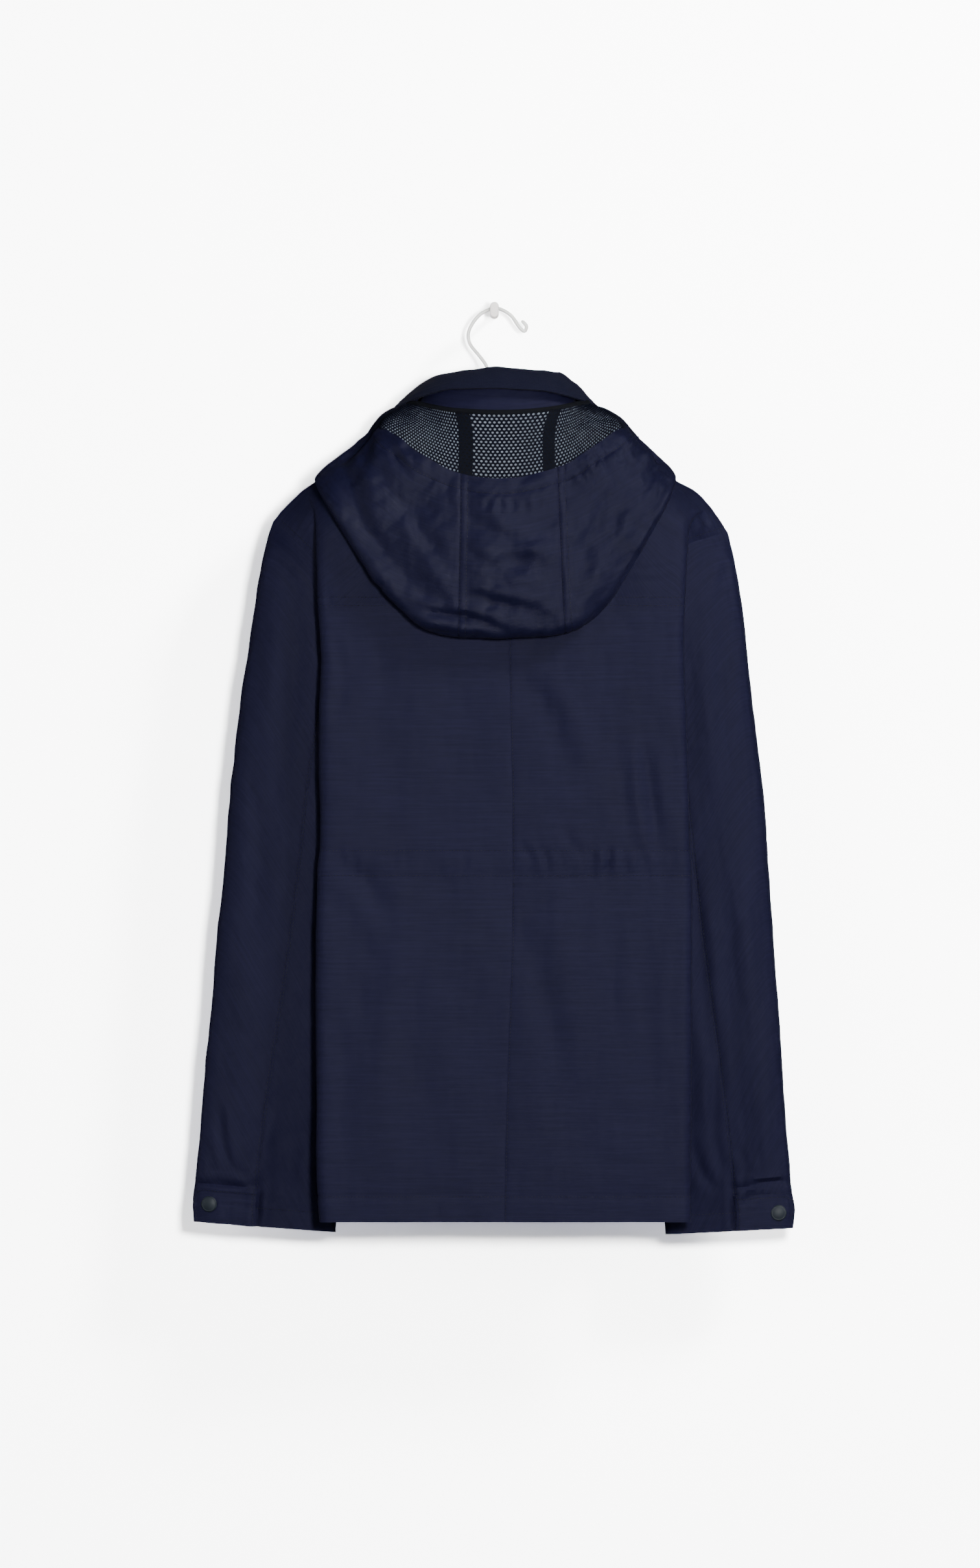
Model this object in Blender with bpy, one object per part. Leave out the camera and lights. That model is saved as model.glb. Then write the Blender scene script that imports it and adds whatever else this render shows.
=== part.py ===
"""Hooded nylon jacket hung by a wire hanger on a small wall peg.

Tables are in millimetres: +X right and +Z up in the photo, and the wall is the plane y = 0.
The jacket's back faces -Y. The cloth is a wall of even thickness, worked out from rings and sections.
"""
import math
from collections import namedtuple

import bmesh
import bpy
import numpy as np
from mathutils import Vector
from mathutils.bvhtree import BVHTree

MM = 0.001

# ---------------------------------------------------------------- driving sizes (mm)
SHELL = 1.6             # wall of the nylon shell
NET = 1.0               # wall of the net lining
TAB = 1.2               # wall of the cuff tabs
SEAM_GAP = 0.3          # clear space between two pieces at a seam
ZIP_HALF = 6.5          # half the width of the front zip
ZIP_X = 3.5             # the zip lies on the neck's centre line
NECK_X, NECK_Y = 3.5, -58.0
NECK_HALF_WIDTH, NECK_HALF_DEPTH = 79.5, 40.0
WIRE_RADIUS, WIRE_SIDES = 1.5, 8
SNAP_RADIUS, SNAP_HEIGHT = 7.2, 2.4
PEG_HALF_WIDTH, PEG_HALF_HEIGHT = 4.0, 7.2
PEG_REACH = 37.0        # from the wall to the front of the peg's head
PEG_STEM = 2.4          # radius of the stem that the hook rests on
PEG_DROP = 0.6          # the head's middle lies this far below the wire
PEG_SIDES = 24

SHOULDER_COLUMNS = 14   # columns of half a panel that start on the shoulder seam
NECK_COLUMNS = 6        # and those that start on the neck
HALF_COLUMNS = SHOULDER_COLUMNS + NECK_COLUMNS
ARMHOLE_ROWS = 12       # rows from the shoulder point to the underarm
YOKE_ROW = 5            # the yoke seam is this row of the back
SLEEVE_COLUMNS = 2 * ARMHOLE_ROWS
SLEEVE_SEAM = 6         # column of the sleeve's back seam; the front seam mirrors it
SHOULDER_LEVEL = -216.0 # a level above this height still lies on the shoulder
SHOULDER_RISE = 3.0     # how far such a level's plan rises past its fold
FOLD_LEAD = 18.0        # where the plan turns from the side fold to the flat back
FRONT_INSET = 3.0       # the front's side fold lies this far inside the back's
UNDERARM_COLUMNS = 4.0  # columns each side of the underarm that stand off the body
TAB_ROWS = 3            # rows of the sleeve that the cuff tab covers
SNAP_SHARE = 0.65       # the snap's place between the sleeve's second and third columns
SNAP_LIFT = 0.9         # the snap's rim above the tab
SNAP_SIDES = 28

ROUND_KINDS = ("snap", "wire", "peg")  # pieces that are shaded smooth
ROUND_ANGLE = math.radians(40.0)

COLOURS = {
    "shell": ((0.0150, 0.0190, 0.0400), 0.50, 0.0),
    "rib": ((0.0120, 0.0150, 0.0300), 0.85, 0.0),
    "net": ((0.0900, 0.1150, 0.1650), 0.80, 0.0),
    "snap": ((0.0120, 0.0180, 0.0260), 0.45, 0.6),
    "zip": ((0.0100, 0.0120, 0.0250), 0.60, 0.0),
    "wire": ((0.7400, 0.7400, 0.7100), 0.35, 0.0),
    "peg": ((0.8500, 0.8000, 0.7800), 0.45, 0.0),
}

# ---------------------------------------------------------------- tables (mm)
# One row per level of half a body panel, from the level below the shoulder down to the hem.
# edge = armhole or side seam, valley and guide = where the side fold turns in, fold = its outer edge.
Level = namedtuple("Level", "z edge_x edge_y valley_x valley_y guide_x guide_y fold_x fold_in fold_out")

BACK_LEFT = [Level(*row) for row in (
    (-213, -187.0, -72.0, -178, -77, -172, -79, -166.0, -82, -88),
    (-229, -171.0, -79.0, -163, -82, -157, -84, -164.0, -86, -98),
    (-245, -157.0, -83.0, -149, -87, -150, -89, -163.4, -90, -103),
    (-260, -143.0, -86.0, -139, -90, -148, -91, -162.6, -91, -106),
    (-275, -131.0, -87.0, -128, -92, -147, -92, -161.8, -92, -108),
    (-300, -116.0, -87.5, -112, -92, -146, -92, -160.2, -92, -109),
    (-325, -106.0, -87.0, -102, -92, -145, -92, -158.8, -92, -109),
    (-350, -99.5, -85.5, -95.5, -92, -146, -92, -159.4, -92, -109),
    (-375, -95.5, -82.5, -91.5, -92, -146, -92, -160.4, -92, -109),
    (-398, -92.5, -77.0, -89.5, -91, -146, -92, -160.6, -92, -109),
    (-417, -90.0, -69.0, -88.0, -90, -146, -92, -160.5, -92, -109),
    (-430, -88.0, -60.0, -87.0, -89, -146, -92, -160.4, -92, -109),
    (-495, -88.0, -60.0, -87.0, -89, -146, -92, -160.0, -92, -109),
    (-526, -89.0, -60.0, -88.0, -89, -147, -92, -162.2, -92, -108),
    (-585, -90.5, -60.0, -89.5, -89, -148, -92, -163.2, -92, -110),
    (-660, -92.0, -60.0, -91.0, -89, -149, -92, -164.0, -92, -110),
    (-740, -94.0, -60.0, -93.0, -89, -149, -92, -163.5, -92, -109),
    (-800, -96.0, -60.0, -95.0, -89, -148, -92, -162.4, -92, -108),
    (-845, -98.0, -60.0, -97.0, -88, -145, -91, -159.5, -91, -106),
)]

BACK_RIGHT = [Level(*row) for row in (
    (-214, 194.0, -72.0, 190, -77, 187, -79, 183.0, -82, -88),
    (-219, 179.5, -79.0, 176, -82, 173, -84, 179.2, -86, -98),
    (-232, 163.0, -83.0, 160, -87, 164, -89, 178.0, -90, -103),
    (-250, 147.0, -86.0, 143, -90, 162, -91, 176.7, -91, -106),
    (-275, 133.0, -87.0, 130, -92, 161, -92, 175.6, -92, -108),
    (-300, 118.0, -87.5, 114, -92, 160, -92, 174.5, -92, -109),
    (-325, 108.0, -87.0, 104, -92, 160, -92, 174.4, -92, -109),
    (-350, 101.5, -85.5, 97.5, -92, 160, -92, 174.8, -92, -109),
    (-375, 97.5, -82.5, 93.5, -92, 161, -92, 176.2, -92, -109),
    (-398, 94.5, -77.0, 91.5, -91, 162, -92, 177.2, -92, -109),
    (-417, 92.0, -69.0, 90.0, -90, 163, -92, 177.7, -92, -109),
    (-430, 90.0, -60.0, 89.0, -89, 163, -92, 178.0, -92, -109),
    (-495, 90.0, -60.0, 89.0, -89, 165, -92, 179.5, -92, -109),
    (-526, 91.0, -60.0, 90.0, -89, 166, -92, 180.5, -92, -108),
    (-585, 92.5, -60.0, 91.5, -89, 166, -92, 180.6, -92, -110),
    (-660, 94.0, -60.0, 93.0, -89, 166, -92, 180.6, -92, -110),
    (-740, 96.0, -60.0, 95.0, -89, 166, -92, 180.6, -92, -109),
    (-800, 98.0, -60.0, 97.0, -89, 166, -92, 180.6, -92, -108),
    (-845, 100.0, -60.0, 99.0, -88, 165, -91, 180.6, -91, -106),
)]

# The front lies near the wall, so it needs only the armhole's depth and the depth of its side fold.
Front = namedtuple("Front", "edge_y valley_y guide_y fold_in fold_out")
FRONT_DEPTH = [Front(*row) for row in (
    (-45.0, -41, -39, -36, -31),
    (-38.5, -36, -34, -32, -22),
    (-35.0, -32, -31, -30, -19),
    (-33.0, -30, -30, -30, -17),
    (-32.0, -28, -30, -30, -16),
    (-31.5, -28, -30, -30, -15),
    (-32.0, -28, -30, -30, -15),
    (-33.5, -28, -30, -30, -15),
    (-37.0, -29, -30, -30, -15),
    (-42.5, -30, -30, -30, -15),
    (-50.5, -31, -30, -30, -15),
    (-60.0, -32, -30, -30, -15),
)]

# Centre line of the panels: one row per level above the hem.
Centre = namedtuple("Centre", "back_x back_y back_z front_y front_z")
CENTRE = [Centre(*row) for row in (
    (6.0, -102, -127, -19.0, -172),
    (9.0, -104, -158, -17.5, -196),
    (11.0, -105, -196, -16.5, -222),
    (12.0, -106, -235, -16.0, -248),
    (13.0, -107, -275, -16.0, -275),
    (13.0, -107, -300, -15.5, -300),
    (13.5, -107, -325, -15.5, -325),
    (14.0, -107, -350, -15.5, -350),
    (14.5, -107, -375, -15.5, -375),
    (15.0, -107, -398, -15.5, -398),
    (15.5, -107, -417, -15.5, -417),
    (16.0, -107, -430, -15.5, -430),
    (16.5, -107, -495, -15.5, -495),
    (16.5, -106, -526, -15.5, -526),
    (16.0, -108, -585, -15.5, -585),
    (13.5, -108, -660, -15.5, -660),
    (11.0, -107, -740, -15.5, -740),
    (9.5, -106, -800, -15.5, -800),
    (9.0, -104, -845, -16.0, -845),
)]

# Shoulder ridge from the shoulder point in to the neck.
Ridge = namedtuple("Ridge", "x z")
RIDGE_LEFT = [Ridge(*row) for row in (
    (-204.3, -198.0), (-196.6, -188.5), (-188.2, -180.0), (-177.4, -169.8), (-165.0, -161.5),
    (-150.0, -153.0), (-137.0, -145.0), (-120.0, -134.0), (-111.0, -127.5), (-95.0, -112.0), (-76.0, -90.0),
)]
RIDGE_RIGHT = [Ridge(*row) for row in (
    (215.3, -208.2), (209.3, -198.8), (200.4, -186.2), (191.4, -175.8), (181.8, -167.6),
    (168.0, -161.0), (150.0, -150.5), (127.0, -133.5), (110.0, -119.5), (95.0, -104.0), (83.0, -90.0),
)]

# Collar, by the angle round the neck: 0 at the back, -90 left, 90 right, 180 at the front.
Collar = namedtuple("Collar", "psi neck_z top_z edge_z")
COLLAR = [Collar(*row) for row in (
    (-180, -150, -112, -137), (-150, -130, -101, -120), (-120, -103, -84, -95),
    (-90, -90, -71.0, -85.5), (-75, -89, -69.0, -86.5), (-57, -89.5, -66.5, -83.5), (-30, -94.5, -62.5, -76.5),
    (0, -97, -59.5, -75.8), (30, -94.5, -62.0, -78.0), (57, -89.5, -63.2, -84.0), (75, -89, -64.0, -86.5),
    (90, -90, -68.0, -85.5), (120, -103, -84, -95), (150, -130, -101, -120), (180, -150, -112, -137),
)]
TOP_X, TOP_Y, TOP_HALF_WIDTH, TOP_HALF_DEPTH = 1.5, -57.0, 61.0, 25.0
EDGE_X, EDGE_HALF_WIDTH, EDGE_HALF_DEPTH = 2.0, 86.0, 40.0
COLLAR_OPEN = 4.0       # degrees left open each side of the front zip
COLLAR_STEPS = 34       # columns round the collar
COLLAR_INSET = 2.5      # the stand's foot lies this far inside the neck seam
COLLAR_FOOT = 3.0       # and this far below it
RIB_TURN = 3.2          # the fall's distance from the stand's top edge
RIB_INSIDE = 2.6        # the distance of its inner end, inside the stand
RIB_TUCK = 12.0         # how far that end reaches down
RIB_SWELL = 3.0         # how far the fall bows out

# Sleeve rings, from the first ring past the armhole down to the cuff.
# bow = how far the ring bends in to the body, warp = how far its back seam moves out.
Ring = namedtuple("Ring", "outer_x outer_z inner_x inner_z mid_y half_depth bow warp")
SLEEVE_LEFT = [Ring(*row) for row in (
    (-210.5, -224.0, -99.0, -437, -60, 23.0, 19.0, 0.00),
    (-216.2, -252.0, -104.0, -446, -60, 23.0, 11.0, 0.00),
    (-222.0, -284.0, -107.0, -458, -60, 23.0, 6.0, 0.00),
    (-227.6, -318.0, -108.0, -473, -60, 23.0, 3.0, 0.00),
    (-233.2, -360.0, -109.0, -491, -60, 22.5, 1.0, 0.00),
    (-238.6, -405.0, -111.0, -514, -60, 22.0, 0.0, 0.00),
    (-243.0, -445.0, -113.0, -540, -60, 21.5, 0.0, 0.00),
    (-248.0, -500.0, -117.0, -575, -60, 21.0, 0.0, 0.02),
    (-252.6, -550.0, -121.0, -612, -60, 20.5, 0.0, 0.05),
    (-256.8, -598.0, -125.0, -650, -60, 19.5, 0.0, 0.10),
    (-260.9, -640.0, -130.0, -690, -60, 18.5, 0.0, 0.15),
    (-265.6, -685.0, -134.0, -727, -60, 17.0, 0.0, 0.20),
    (-270.2, -735.0, -139.0, -764, -59, 15.0, 0.0, 0.25),
    (-274.0, -785.0, -143.0, -800, -58, 12.5, 0.0, 0.30),
    (-276.0, -810.0, -145.0, -821, -57, 11.0, 0.0, 0.32),
    (-278.4, -828.0, -146.5, -839, -57, 10.0, 0.0, 0.32),
    (-277.6, -846.0, -147.8, -856, -57, 9.5, 0.0, 0.32),
)]
SLEEVE_RIGHT = [Ring(*row) for row in (
    (221.4, -232.0, 101.0, -437, -60, 23.0, 19.0, 0.00),
    (226.0, -260.0, 106.0, -446, -60, 23.0, 11.0, 0.00),
    (229.9, -290.0, 109.0, -458, -60, 23.0, 6.0, 0.00),
    (233.4, -323.0, 111.0, -473, -60, 23.0, 3.0, 0.00),
    (237.6, -363.0, 113.0, -491, -60, 22.5, 1.0, 0.00),
    (242.3, -405.0, 116.0, -514, -60, 22.0, 0.0, 0.00),
    (247.0, -447.0, 119.0, -540, -60, 21.5, 0.0, 0.00),
    (251.4, -500.0, 124.0, -575, -60, 21.0, 0.0, 0.00),
    (255.6, -550.0, 129.0, -612, -60, 20.5, 0.0, 0.02),
    (259.3, -598.0, 134.0, -650, -60, 19.5, 0.0, 0.06),
    (262.2, -640.0, 140.0, -690, -60, 18.5, 0.0, 0.10),
    (265.3, -685.0, 145.0, -727, -60, 17.0, 0.0, 0.14),
    (268.7, -735.0, 150.0, -764, -59, 15.0, 0.0, 0.18),
    (272.2, -786.0, 154.5, -802, -58, 12.5, 0.0, 0.22),
    (274.4, -818.0, 157.0, -824, -57, 11.0, 0.0, 0.24),
    (277.2, -833.0, 158.5, -842, -57, 10.0, 0.0, 0.24),
    (275.4, -852.0, 159.8, -858, -57, 9.5, 0.0, 0.24),
)]
SECTION_POWER = 2.5     # how square a sleeve's section is

# Hood, by column from its left corner to its right: rim = the opening's edge, fold = the outline
# where the crown layer turns back to the layer that lies on the yoke, psi = place on the neck.
Hood = namedtuple("Hood", "rim_x rim_y rim_z fold_x fold_y fold_z half_fold bulge psi")
HOOD = [Hood(*row) for row in (
    (-110.0, -64, -115.5, -116.0, -60, -120.0, 4.0, 1, -97),
    (-104.0, -73, -118.5, -137.0, -66, -133.5, 5.0, 3, -88),
    (-97.5, -75, -121.5, -164.0, -76, -156.5, 5.0, 5, -82),
    (-91.0, -81, -125.0, -163.5, -90, -166.0, 6.0, 7, -76),
    (-84.5, -87, -130.0, -149.0, -107, -192.0, 8.0, 9, -68),
    (-77.5, -94, -135.5, -131.5, -115, -221.0, 9.0, 11, -60),
    (-68.0, -102, -141.0, -110.0, -118, -252.5, 10.0, 13, -51),
    (-57.0, -110, -146.0, -85.0, -121, -280.5, 10.0, 14, -42),
    (-44.0, -118, -151.5, -59.0, -123, -299.8, 10.0, 14, -33),
    (-31.0, -123, -155.5, -33.5, -124, -305.2, 10.0, 14, -24),
    (-10.0, -127, -159.3, -12.0, -125, -306.0, 10.0, 14, -9),
    (12.0, -128, -160.0, 12.0, -125, -306.0, 10.0, 14, 6),
    (34.0, -127, -156.8, 38.0, -125, -305.0, 10.0, 14, 22),
    (57.7, -122, -150.0, 64.3, -124, -301.0, 10.0, 14, 40),
    (68.0, -117, -146.5, 86.0, -122, -291.8, 10.0, 14, 46),
    (79.0, -111, -140.4, 104.0, -120, -275.0, 10.0, 14, 52),
    (88.0, -104, -135.5, 121.0, -117, -249.5, 10.0, 13, 58),
    (97.0, -96, -130.0, 139.0, -114, -218.5, 9.0, 11, 64),
    (106.3, -88, -124.0, 155.0, -106, -188.0, 8.0, 9, 70),
    (113.0, -81, -120.5, 165.5, -90, -164.0, 6.0, 7, 76),
    (119.0, -75, -118.0, 165.5, -77, -154.0, 5.0, 5, 82),
    (124.0, -73, -116.8, 146.0, -66, -133.5, 5.0, 3, 88),
    (127.0, -64, -116.5, 133.0, -60, -121.0, 4.0, 1, 97),
)]
SETTLE_ROUNDS = 12      # passes that lift the hood off the yoke
NAPE_ROW = 9            # first row of the layer that lies on the yoke
HOOD_SEAM_LEFT, HOOD_SEAM_RIGHT = 9, 13     # columns of the hood's two seams
UNDERARM_EASE = 2.2      # extra space between sleeve and body under the arm
YOKE_EASE = 4.0         # space between the yoke's wall and the hood's lower layer
CASING_DEPTH = 15.0                         # the drawcord casing below the rim
CASING_SHARE = 0.85                         # and at most this share of the first row's length
NECK_GROW, NECK_RISE = 3.4, 0.3             # the hood's foot stands this far off the neck seam
UPPER_SHARE, LOWER_SHARE = 0.30, 0.74       # where the crown's two control points lie, rim to fold
UPPER_BULGE = 0.7                           # the upper one stands out less than the lower
EVEN_SHARE = 0.6                            # how much of each pass evens the lower layer out
CROWN_EASE, CROWN_FOLDS = 7.5, 1.6          # space between the hood's layers, in mm and in half folds
FACE_EASE = 0.8                             # how much nearer a face's middle may lie
NET_EASE = 0.5                              # extra space between the hood's wall and the net
NET_START = 3.0                             # the net starts this far below the neck seam
NET_FIRST, NET_LAST = 3, 19                 # columns that carry the net
NET_ROWS = 5                                # and its rows, down from the neck

# Wire hanger: hook from the curl down to the twist, and the frame round its triangle.
Wire = namedtuple("Wire", "x y z")
HOOK = [Wire(*row) for row in (
    (25.4, -28, -10.5), (29.6, -28, -15.6), (27.8, -28, -20.4), (22.5, -28, -15.8), (16.4, -28, -6.8),
    (8.6, -28, -1.2), (0.2, -28, 0.9), (-11.2, -28, -3.4), (-19.0, -28, -11.2), (-23.8, -28, -20.4),
    (-23.9, -29, -28.2), (-21.5, -31, -34.3), (-14.3, -37, -43.3), (-7.2, -44, -54.0), (-4.2, -50, -70.0),
    (-4.0, -57, -93.2),
)]
FRAME = [Wire(*row) for row in (
    (-4.0, -57, -95.0), (-40.0, -57.5, -108.0), (-78.0, -58, -121.0), (-111.0, -58, -136.5),
    (-150.0, -58, -157.8), (-172.0, -58, -171.8), (-183.5, -58, -182.8), (-187.0, -58, -194.0),
    (-178.0, -58, -203.5), (-100.0, -58, -205.5), (0.0, -58, -206.5), (100.0, -58, -208.0),
    (187.0, -58, -207.5), (197.0, -58, -199.0), (195.0, -58, -187.8), (186.0, -58, -177.0),
    (172.0, -58, -168.0), (150.0, -58, -155.0), (110.0, -58, -131.0), (78.0, -58, -117.0),
    (36.0, -57.5, -106.5),
)]


# ---------------------------------------------------------------- plain helpers
def clear_scene():
    for thing in list(bpy.data.objects):
        bpy.data.objects.remove(thing, do_unlink=True)


def material(kind):
    name = "mat_" + kind
    found = bpy.data.materials.get(name)
    if found:
        return found
    colour, roughness, metallic = COLOURS[kind]
    made = bpy.data.materials.new(name)
    made.use_nodes = True
    shader = made.node_tree.nodes["Principled BSDF"]
    shader.inputs["Base Color"].default_value = (*colour, 1.0)
    shader.inputs["Roughness"].default_value = roughness
    shader.inputs["Metallic"].default_value = metallic
    return made


def make_object(name, vertices, faces, kind):
    """A closed body from points in millimetres; its faces are turned outward."""
    mesh = bpy.data.meshes.new(name)
    mesh.from_pydata([tuple(c * MM for c in v) for v in vertices], [], faces)
    work = bmesh.new()
    work.from_mesh(mesh)
    bmesh.ops.recalc_face_normals(work, faces=work.faces[:])
    work.to_mesh(mesh)
    work.free()
    mesh.materials.append(material(kind))
    if kind in ROUND_KINDS:
        mesh.shade_smooth()
        mesh.set_sharp_from_angle(angle=ROUND_ANGLE)
    made = bpy.data.objects.new(name, mesh)
    bpy.context.scene.collection.objects.link(made)
    return made


def table_value(table, key, at, column):
    """Reads a column of a table between its rows."""
    keys = [getattr(row, key) for row in table]
    values = [getattr(row, column) for row in table]
    return float(np.interp(at, keys, values))


def unit(vector):
    length = np.linalg.norm(vector)
    return vector / length if length > 1e-9 else vector


def spline_span(first, control, last, share):
    """A point of one quadratic span."""
    rest = 1.0 - share
    return rest * rest * first + 2.0 * rest * share * control + share * share * last


def spline(controls, spans):
    """Quadratic spline through the middles of its control polygon.

    spans holds the shares at which each span is read, one tuple for each inner control point."""
    controls = [np.array(c, float) for c in controls]
    middles = [controls[0]]
    for a, b in zip(controls[1:-2], controls[2:-1]):
        middles.append((a + b) / 2.0)
    middles.append(controls[-1])
    points = [controls[0]]
    for index, shares in enumerate(spans):
        for share in shares:
            points.append(spline_span(middles[index], controls[index + 1], middles[index + 1], share))
    return np.array(points)


def even(count):
    return tuple((k + 1) / count for k in range(count))


# ---------------------------------------------------------------- cloth
def face_normals(grid, sign):
    across = grid[1:, 1:] - grid[:-1, :-1]
    down = grid[1:, :-1] - grid[:-1, 1:]
    normal = np.cross(across, down) * sign
    length = np.linalg.norm(normal, axis=2, keepdims=True)
    return normal / np.maximum(length, 1e-9)


def shared_normals(grids):
    """Normals at each grid's points, shared where the grids' points meet, so that seams fit."""
    total = {}
    for grid, sign in grids:
        normal = face_normals(grid, sign)
        rows, columns = normal.shape[:2]
        for i in range(rows):
            for j in range(columns):
                for point in (grid[i, j], grid[i + 1, j], grid[i, j + 1], grid[i + 1, j + 1]):
                    key = tuple(np.round(point, 2))
                    total[key] = total.get(key, 0.0) + normal[i, j]
    result = []
    for grid, _ in grids:
        out = np.zeros_like(grid)
        for i in range(grid.shape[0]):
            for j in range(grid.shape[1]):
                out[i, j] = unit(total[tuple(np.round(grid[i, j], 2))])
        result.append(out)
    return result


def pull_back(grid, edges):
    """Moves the named edges in by half of the seam's gap."""
    grid = grid.copy()
    step = SEAM_GAP * 0.55
    pairs = {"top": (0, 1), "bottom": (-1, -2)}
    for edge in edges:
        if edge in pairs:
            a, b = pairs[edge]
            away = grid[b] - grid[a]
        else:
            a, b = (0, 1) if edge == "left" else (-1, -2)
            away = grid[:, b] - grid[:, a]
        away = away / np.maximum(np.linalg.norm(away, axis=1, keepdims=True), 1e-9) * step
        if edge in pairs:
            grid[a] = grid[a] + away
        else:
            grid[:, a] = grid[:, a] + away
    return grid


def cloth(name, kind, grid, normal, wall, lift=0.0, seams=(), round_way=False):
    """A closed wall of cloth about a grid of points; round_way joins the last column to the first."""
    grid = pull_back(grid, seams)
    rows, columns = grid.shape[:2]
    outer = grid + normal * (lift + wall / 2.0)
    inner = grid + normal * (lift - wall / 2.0)
    vertices = list(outer.reshape(-1, 3)) + list(inner.reshape(-1, 3))
    shift = rows * columns
    faces = []
    last = columns if round_way else columns - 1
    for i in range(rows - 1):
        for j in range(last):
            k = (j + 1) % columns
            a, b = i * columns + j, i * columns + k
            c, d = (i + 1) * columns + k, (i + 1) * columns + j
            for p, q, r in ((a, b, c), (a, c, d)):
                faces.append((p, q, r))
                faces.append((r + shift, q + shift, p + shift))
    for j in range(last):
        k = (j + 1) % columns
        for i in (0, rows - 1):
            a, b = i * columns + j, i * columns + k
            faces.append((a, b, b + shift, a + shift))
    if not round_way:
        for i in range(rows - 1):
            for j in (0, columns - 1):
                a, b = i * columns + j, (i + 1) * columns + j
                faces.append((a, b, b + shift, a + shift))
    return make_object(name, vertices, faces, kind)


# ---------------------------------------------------------------- body
def neck_point(psi, grow=0.0):
    turn = math.radians(psi)
    return np.array((NECK_X + (NECK_HALF_WIDTH + grow) * math.sin(turn),
                     NECK_Y - (NECK_HALF_DEPTH + grow) * math.cos(turn),
                     table_value(COLLAR, "psi", psi, "neck_z")))


SIDE_SPANS = (even(3), even(3), even(2), even(3), (0.22, 0.42, 0.60, 0.69, 0.77, 0.84, 0.90, 0.95, 1.0))


def half_level(level, centre_x, centre_y, centre_z, heights):
    """One level of half a panel, from its edge in to the centre line."""
    fold = level.fold_x
    inward = -FOLD_LEAD if fold > 0 else FOLD_LEAD
    lead_y = (level.fold_out + centre_y) / 2.0
    if level.z > SHOULDER_LEVEL:
        lead_y = level.fold_out + SHOULDER_RISE
    controls = ((level.edge_x, level.edge_y), (level.valley_x, level.valley_y),
                (level.guide_x, level.guide_y), (fold, level.fold_in), (fold, level.fold_out),
                (fold + inward, lead_y), (centre_x, centre_y))
    plan = spline(controls, SIDE_SPANS)
    z = level.z * (1.0 - heights) + centre_z * heights
    return np.column_stack((plan, z))


def half_panel(levels, ridge, first, centres, psi_side, psi_centre, top_z):
    """Half a body panel: the shoulder and neck line, then one row for each level.

    first is the level that spaces the shoulder's columns, the same for back and front."""
    tip = ridge[0]
    neck_x = neck_point(psi_side)[0]
    plan = half_level(first, CENTRE[0].back_x, CENTRE[0].back_y, 0.0, np.zeros(HALF_COLUMNS + 1))
    start, stop = plan[0, 0], plan[SHOULDER_COLUMNS, 0]
    top = []
    ordered = sorted(ridge, key=lambda row: row.x)
    for column in range(SHOULDER_COLUMNS + 1):
        share = (plan[column, 0] - start) / (stop - start)
        x = tip.x + (neck_x - tip.x) * share
        z = float(np.interp(x, [row.x for row in ordered], [row.z for row in ordered]))
        top.append((x, NECK_Y, z))
    for column in range(1, NECK_COLUMNS + 1):
        psi = psi_side + (psi_centre - psi_side) * column / NECK_COLUMNS
        top.append(neck_point(psi))
    top = np.array(top)
    heights = (top[:, 2] - tip.z) / (top_z - tip.z)
    rows = [top]
    for level, (centre_x, centre_y, centre_z) in zip(levels, centres):
        rows.append(half_level(level, centre_x, centre_y, centre_z, heights))
    return np.array(rows)


def front_levels(levels):
    """The front's levels: the back's edge and fold lines, at the front's depths."""
    result = []
    for index, level in enumerate(levels):
        depth = FRONT_DEPTH[min(index, ARMHOLE_ROWS - 1)]
        inset = -FRONT_INSET if level.fold_x > 0 else FRONT_INSET
        result.append(Level(level.z, level.edge_x, depth.edge_y, level.valley_x, depth.valley_y,
                            level.guide_x, depth.guide_y, level.fold_x + inset,
                            depth.fold_in, depth.fold_out))
    return result


def back_grid():
    centres = [(row.back_x, row.back_y, row.back_z) for row in CENTRE]
    left = half_panel(BACK_LEFT, RIDGE_LEFT, BACK_LEFT[0], centres, -90.0, 0.0, neck_point(0.0)[2])
    right = half_panel(BACK_RIGHT, RIDGE_RIGHT, BACK_RIGHT[0], centres, 90.0, 0.0, neck_point(0.0)[2])
    return np.concatenate((left, right[:, -2::-1]), axis=1)


def front_grid():
    side = math.degrees(math.asin(ZIP_HALF / NECK_HALF_WIDTH))
    halves = []
    for levels, ridge, turn in ((BACK_LEFT, RIDGE_LEFT, -1.0), (BACK_RIGHT, RIDGE_RIGHT, 1.0)):
        centres = [(ZIP_X + turn * ZIP_HALF, row.front_y, row.front_z) for row in CENTRE]
        end = turn * (180.0 - side)
        halves.append(half_panel(front_levels(levels), ridge, levels[0], centres, turn * 90.0,
                                 end, neck_point(end)[2]))
    left, right = halves
    return np.concatenate((left, right[:, ::-1]), axis=1)


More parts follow.
